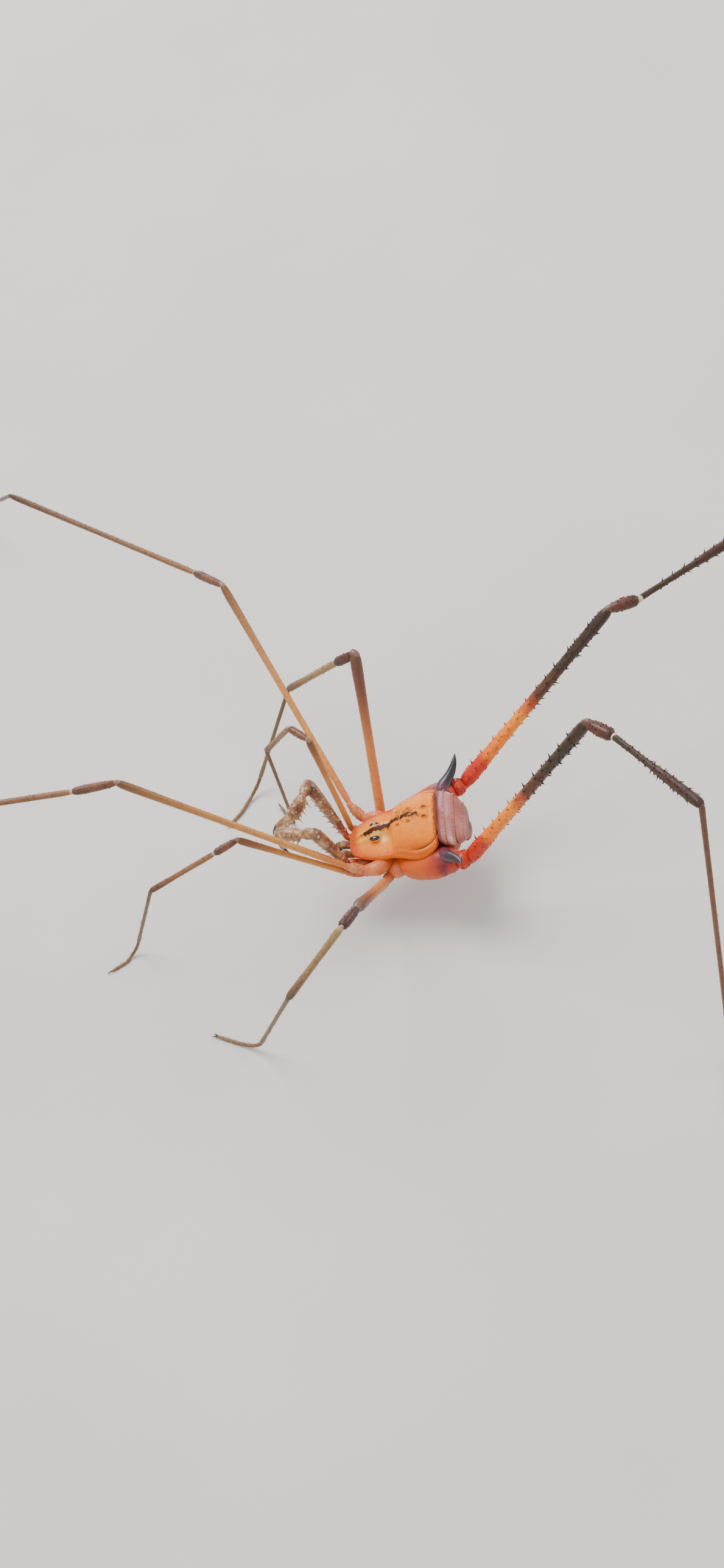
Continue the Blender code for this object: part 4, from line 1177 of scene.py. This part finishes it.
def relief(mesh, bone, pair, part, draw):
    """Granules and spines on one segment."""
    if pair == 4 and part in REAR_RELIEF:
        (count, span, sizes), rows, (thick, lean, tone) = REAR_RELIEF[part]
        for _ in range(count):
            t, angle = draw.uniform(*span), draw.uniform(0, 360)
            bone.granule(mesh, t, angle, draw.uniform(*sizes), 1.1, 0.12)
        for angles, count, first, lengths in rows:
            for angle in angles:
                for k in range(count):
                    t = first + (0.96 - first) * (k + draw.uniform(-0.2, 0.2)) / count
                    out = bone.out(angle)
                    size = draw.uniform(*lengths)
                    foot = bone.surface(t, angle) - out * 0.02
                    spine(mesh, foot, foot + out * size + bone.way * size * lean, thick,
                          bend=bone.way * 0.05, tone=tone, along=t)
    elif part in ("patella", "trochanter"):
        for _ in range(40 if pair == 4 else 22):
            t, angle = draw.uniform(0.12, 0.9), draw.uniform(-40, 220)
            size = draw.uniform(0.03, 0.05) * (1.3 if pair == 4 else 1.0)
            bone.granule(mesh, t, angle, size, 1.2, 0.15)
    elif part in ("femur", "tibia"):
        count = int(bone.length * 1.6)
        for angle in (20, 70, 110, 160, 250, 290):
            for k in range(count):
                t = 0.05 + 0.92 * (k + draw.uniform(-0.3, 0.3)) / count
                bone.granule(mesh, t, angle, draw.uniform(0.02, 0.034), 1.5, 0.25, 6)


def bristle(mesh, foot, out, way, length, lean, root, thick=0.012):
    """One fine hair, leaning towards the leg's far end and curving."""
    tip = foot + (out * (1 - lean) + way * lean).normalized() * length
    middle = foot.lerp(tip, 0.5) + out * 0.06 * length
    axis = out.cross(way).normalized()
    second = out.cross(axis)
    points = []
    uvs = []
    for k, (centre, share) in enumerate(((foot - out * 0.02, 1), (middle, 0.7), (tip, 0.2))):
        for j in range(3):
            angle = 2 * math.pi * j / 3
            points.append(centre + thick * share * (math.cos(angle) * axis + math.sin(angle) * second))
            uvs.append((root[0] + 0.0015 * math.cos(angle), root[1] + 0.001 * k))
    mesh.add(points, closed_rings(3, 3), 0.5, root=uvs)


def soft_joint(skins, where, before, after, size, tone):
    """The wrinkled skin between two segments, which lie along before and after."""
    turn = before.normalized()
    if after is not None:
        turn = (turn + after.normalized()).normalized()
    places = np.linspace(-0.9, 0.9, 13)
    radii = [size * (1 - 0.18 * abs(s) ** 2 - 0.05 * math.cos(6 * math.pi * s)) for s in places]
    loft(skins, [where + turn * s * size for s in places], radii, 20, tone=tone)


def tarsus_path(tibia_end, ankle, toe, radius):
    """The foot bends down from the ankle and lies flat on the floor."""
    down = (ankle - tibia_end).normalized()
    flat_way = Vector((toe.x - ankle.x, toe.y - ankle.y, 0)).normalized()
    end = Vector((toe.x, toe.y, radius))
    heel = end - flat_way * TOE_FLAT
    elbow = ankle + down * (ankle.z - end.z) / max(-down.z, 0.3)
    bend_steps = 80
    flat_steps = 24
    points = []
    for step in range(bend_steps + 1):
        t = step / bend_steps
        points.append((1 - t) ** 2 * ankle + 2 * t * (1 - t) * elbow + t * t * heel)
    points += [heel.lerp(end, k / flat_steps) for k in range(1, flat_steps + 1)]
    return points, flat_way


def tarsus(mesh, hairs, path, radius, tarsomeres, draw, column):
    """The ringed foot and its bristles. Gives the path that it really takes."""
    steps = [(b - a).length for a, b in zip(path, path[1:])]
    along = np.concatenate([[0], np.cumsum(steps)]) / sum(steps)
    wides = []
    for t in along:
        phase = (t * tarsomeres) % 1.0
        pinch = 0.22 * math.exp(-((min(phase, 1 - phase) / 0.13) ** 2))
        wides.append(radius * (1 - pinch) * (1.0 if t < 0.9 else 1 - 0.3 * (t - 0.9) / 0.1))
    path = [Vector((p.x, p.y, max(p.z, w))) for p, w in zip(path, wides)]
    loft(mesh, path, wides, 18, domes=(0.6, 0.8), along=along)
    for _ in range(int(sum(steps) * BRISTLES_PER_MM[5])):
        i = draw.randrange(2, len(path) - 2)
        angle = any_angle(draw)
        way = (path[i + 1] - path[i - 1]).normalized()
        out = outward(way, angle)
        foot = path[i] + out * wides[i] * 0.97
        length = draw.uniform(0.1, 0.22)
        if foot.z + out.z * length < 0.03:
            continue
        root = ((column + angle / (2 * math.pi)) / 8, (5 + along[i]) / 6)
        bristle(hairs, foot, out, way, length, draw.uniform(0.35, 0.6), root, 0.01)
    return path


def claws_of(tip, flat_way, radius, spread):
    """One claw, or two side by side, from the foot's tip along the floor."""
    mesh = Mesh()
    places = np.linspace(0, 1, 16)
    for lean in spread:
        curve = []
        for t in places:
            p = tip + flat_way * (0.5 * t) + across(flat_way) * lean * (0.4 + t)
            p.z = max(0.028, radius * (0.75 - 0.35 * t) + 0.12 * math.sin(math.pi * t))
            curve.append(p)
        loft(mesh, curve, [0.06 * (1 - t) ** 0.7 + 0.01 for t in places], 10, domes=(0.4, 0.8))
    return mesh


def leg(side, pair, column, finishes, skin, claw, hair, draw):
    """One leg: each segment, the joints between them, the foot, its claws and the bristles."""
    sign = 1 if side == "left" else -1
    name = f"leg{pair}_{side}_"
    bones = [BODY @ mirrored(COXAE[pair][0][-1], sign), *leg_joints(side, pair)]
    ways = [b - a for a, b in zip(bones, bones[1:])]
    radii = RADII[pair]
    joint_space = 0.06
    shapes = [TROCHANTER_SHAPE, FEMUR_SHAPE, PATELLA_SHAPE, TIBIA_SHAPE, METATARSUS_SHAPE]
    if pair == 4:
        shapes[1] = REAR_FEMUR_SHAPE
        shapes[3] = CLUB_TIBIA_SHAPE
    hairs = Mesh()
    skins = Mesh()
    for k, (part, shape) in enumerate(zip(SEGMENTS, shapes)):
        start = bones[k] + ways[k].normalized() * (joint_space if k else 0.0)
        end = bones[k + 1] - ways[k].normalized() * joint_space
        bone = Bone(start, end, shape, radii[k])
        mesh = bone.mesh(28 if pair == 4 else 22)
        relief(mesh, bone, pair, part, draw)
        mesh.make(name + part + "_fine", finishes[pair, part], [name + part], SEGMENT_SLOTS[k])
        for _ in range(int(bone.length * BRISTLES_PER_MM[k])):
            t, angle = draw.uniform(0.02, 0.98), draw.uniform(0, 360)
            root = ((column + angle / 360) / 8, (k + t) / 6)
            length = draw.uniform(0.14, 0.3)
            lean = draw.uniform(0.4, 0.65)
            bristle(hairs, bone.surface(t, angle), bone.out(angle), bone.way, length, lean, root)
        size = min(radii[k] * shape[-1][1], radii[k + 1] * 0.8) * (1.2 if k == 0 else 1.0)
        after = ways[k + 1] if k < 4 else None
        soft_joint(skins, bones[k + 1], ways[k], after, size, JOINT_TONES[k])
    skins.make(name + "joints", skin, (), "tarsus")

    mesh = Mesh()
    path, flat_way = tarsus_path(*bones[4:], radii[5])
    path = tarsus(mesh, hairs, path, radii[5], TARSOMERES[pair], draw, column)
    mesh.make(name + "tarsus_fine", finishes[pair, "tarsus"], [name + "tarsus"], SEGMENT_SLOTS[5])
    hairs.make(name + "bristles", hair, (), "tarsus", uv=True)
    claws = claws_of(path[-1], flat_way, radii[5], (0.0,) if pair < 3 else (0.1, -0.1))
    claws.make(name + "claws", claw, (), "dark")


# each leg pair's colours along a segment, from its near end, 0, to its far end, 1
TINTS = {
    "femur": {
        1: ((0, (216, 124, 58)), (0.15, (222, 146, 70)), (0.6, (204, 136, 72)), (0.85, (156, 102, 60)),
            (1, (112, 74, 48))),
        2: ((0, (216, 122, 62)), (0.2, (220, 146, 72)), (0.6, (196, 134, 72)), (0.85, (158, 108, 64)),
            (1, (114, 78, 50))),
        3: ((0, (222, 138, 70)), (0.45, (206, 130, 70)), (0.62, (168, 100, 62)), (0.76, (124, 78, 58)),
            (1, (96, 64, 50))),
        4: ((0, (204, 40, 18)), (0.13, (212, 50, 18)), (0.18, (255, 122, 8)), (0.4, (255, 144, 16)),
            (0.46, (196, 84, 42)), (0.52, (96, 56, 38)), (0.72, (58, 46, 32)), (1, (60, 40, 30))),
    },
    "trochanter": {
        1: ((0, (192, 98, 52)), (1, (208, 120, 64))),
        2: ((0, (208, 114, 68)), (1, (216, 134, 80))),
        3: ((0, (196, 106, 70)), (1, (212, 128, 78))),
        4: ((0, (176, 50, 36)), (0.4, (206, 60, 34)), (1, (206, 44, 20))),
    },
    "patella": {
        1: ((0, (112, 74, 54)), (0.5, (126, 84, 60)), (1, (98, 64, 50))),
        2: ((0, (108, 70, 52)), (0.5, (120, 80, 58)), (1, (92, 60, 48))),
        3: ((0, (80, 50, 46)), (0.5, (92, 56, 50)), (1, (70, 46, 42))),
        4: ((0, (84, 50, 38)), (0.5, (96, 54, 42)), (1, (70, 44, 34))),
    },
    "tibia": {
        1: ((0, (150, 108, 68)), (0.6, (140, 98, 64)), (1, (98, 68, 50))),
        2: ((0, (138, 98, 62)), (0.7, (118, 82, 56)), (1, (84, 58, 44))),
        3: ((0, (160, 128, 86)), (0.6, (150, 118, 80)), (1, (98, 72, 52))),
        4: ((0, (62, 46, 32)), (0.4, (66, 46, 32)), (0.6, (70, 42, 34)), (1, (58, 36, 28))),
    },
    "metatarsus": {
        1: ((0, (112, 84, 58)), (1, (128, 100, 68))),
        2: ((0, (96, 72, 52)), (1, (118, 92, 64))),
        3: ((0, (116, 94, 66)), (1, (128, 102, 74))),
        4: ((0, (104, 68, 50)), (0.5, (126, 84, 60)), (1, (118, 82, 58))),
    },
    "tarsus": {pair: ((0, (118, 90, 62)), (1, (136, 106, 74))) for pair in (1, 2, 3, 4)},
}
# hip, knee, shin and ankle skin of each leg pair
SKIN_TINTS = {
    1: ((206, 116, 66), (150, 112, 82), (182, 150, 116), (112, 82, 58)),
    2: ((212, 122, 78), (150, 112, 84), (186, 152, 118), (100, 74, 54)),
    3: ((206, 112, 66), (120, 84, 66), (176, 144, 112), (104, 82, 58)),
    4: ((200, 48, 26), (96, 62, 48), (214, 190, 156), (84, 56, 44)),
}


def leg_finish(part, pair):
    """One segment's material: the femora differ by pair, and trochanters and patellae are glossier."""
    name = f"{part}{pair}"
    stops = TINTS[part][pair]
    if part == "femur" and pair == 4:
        return limb_material(name, stops, (44, 30, 26), 0.15, 0.42, 0.5, (70, 36, 20))
    if part == "femur":
        return limb_material(name, stops, (120, 76, 50), 0.15, 0.42, 0.35, (128, 72, 38))
    if part in ("trochanter", "patella"):
        return limb_material(name, stops, (62, 42, 34), 0.16, 0.42, 0.45, (56, 34, 26))
    return limb_material(name, stops, (62, 42, 34), 0.1, 0.46, 0.45, (56, 34, 26))


# The studio


def light(name, place, aim, size, power, colour):
    data = bpy.data.lights.new(name, "AREA")
    data.shape = "DISK"
    data.size = size
    data.energy = power
    data.color = colour
    obj = linked(name, data)
    obj.location = place
    obj.rotation_mode = "QUATERNION"
    obj.rotation_quaternion = (Vector(aim) - Vector(place)).to_track_quat("-Z", "Y")


def studio():
    """A pale floor, soft light from above, and the camera where the photo was taken from."""
    data = bpy.data.meshes.new("floor")
    half = 12  # metres
    data.from_pydata([(-half, -half, 0), (half, -half, 0), (half, half, 0), (-half, half, 0)], [],
                     [(0, 1, 2, 3)])
    data.materials.append(floor_material())
    linked("floor", data)

    world = bpy.data.worlds.new("sky")
    bpy.context.scene.world = world
    world.use_nodes = True
    background = world.node_tree.nodes["Background"]
    background.inputs["Color"].default_value = (0.9, 0.92, 0.95, 1)
    background.inputs["Strength"].default_value = 0.75
    light("key", (-0.14, -0.14, 0.44), (0, 0, 0), 0.3, 2.5, (1.0, 0.97, 0.92))
    light("fill", (0.4, -0.25, 0.3), (0, 0, 0), 0.35, 0.5, (1.0, 0.97, 0.94))
    light("back", (-0.1, 0.42, 0.25), (0, 0, 0), 0.25, 0.8, (0.96, 0.94, 1.0))
    light("rim", (-0.42, -0.12, 0.09), (0, 0, 0.006), 0.2, 0.8, (0.8, 0.78, 1.0))

    # the camera's place in the animal's frame, and which ways are back from it and to its right
    place = Vector((111.5, 25.7, 151.8))
    back = Vector((0.620, 0.151, 0.771)).normalized()
    right = Vector((0.021, 0.978, -0.208))
    right = (right - right.dot(back) * back).normalized()
    data = bpy.data.cameras.new("camera")
    data.lens = 55.4
    data.sensor_width = 36
    data.clip_start = 0.005
    data.clip_end = 10
    camera = linked("camera", data)
    turn = Matrix((right, back.cross(right), back)).transposed().to_4x4()
    camera.matrix_world = Matrix.Translation((place + SHIFT) * MM) @ turn
    bpy.context.scene.camera = camera


def main():
    skins = {pair: skin_material(f"joint_skin{pair}", *tints) for pair, tints in SKIN_TINTS.items()}
    claw = plain_material("claw_dark", (40, 24, 18), (70, 42, 28), 0.24, 0.6)
    hair = plain_material("bristle_brown", (86, 62, 44), (120, 90, 62), 0.45, 0.1, 1.0)
    lid = plain_material("eye_lid", (244, 160, 62), (252, 196, 96), 0.4, 0.1)
    coxa_stops = ((0, (188, 72, 28)), (0.35, (210, 98, 42)), (0.75, (226, 128, 76)), (1, (208, 106, 56)))
    small = limb_material("coxa_small", coxa_stops, (130, 60, 36), 0.3, 0.4, 0.25, (164, 66, 36))
    scutum()
    free_plates(plate_material())
    underside(belly_material(), small)
    rear_coxae(flank_material(), horn_material())
    eyes(eye_material(), lid)
    palp = palp_material()
    draw = random.Random(41)
    for sign, side in SIDES:
        chelicera(side, sign, palp, claw)
        pedipalp(side, sign, palp, claw, draw)
    finishes = {(pair, part): leg_finish(part, pair) for pair in LENGTHS for part in TINTS}
    draw = random.Random(51)
    for column, (side, pair) in enumerate((side, pair) for side in ("left", "right") for pair in LENGTHS):
        leg(side, pair, column, finishes, skins[pair], claw, hair, draw)
    studio()


main()
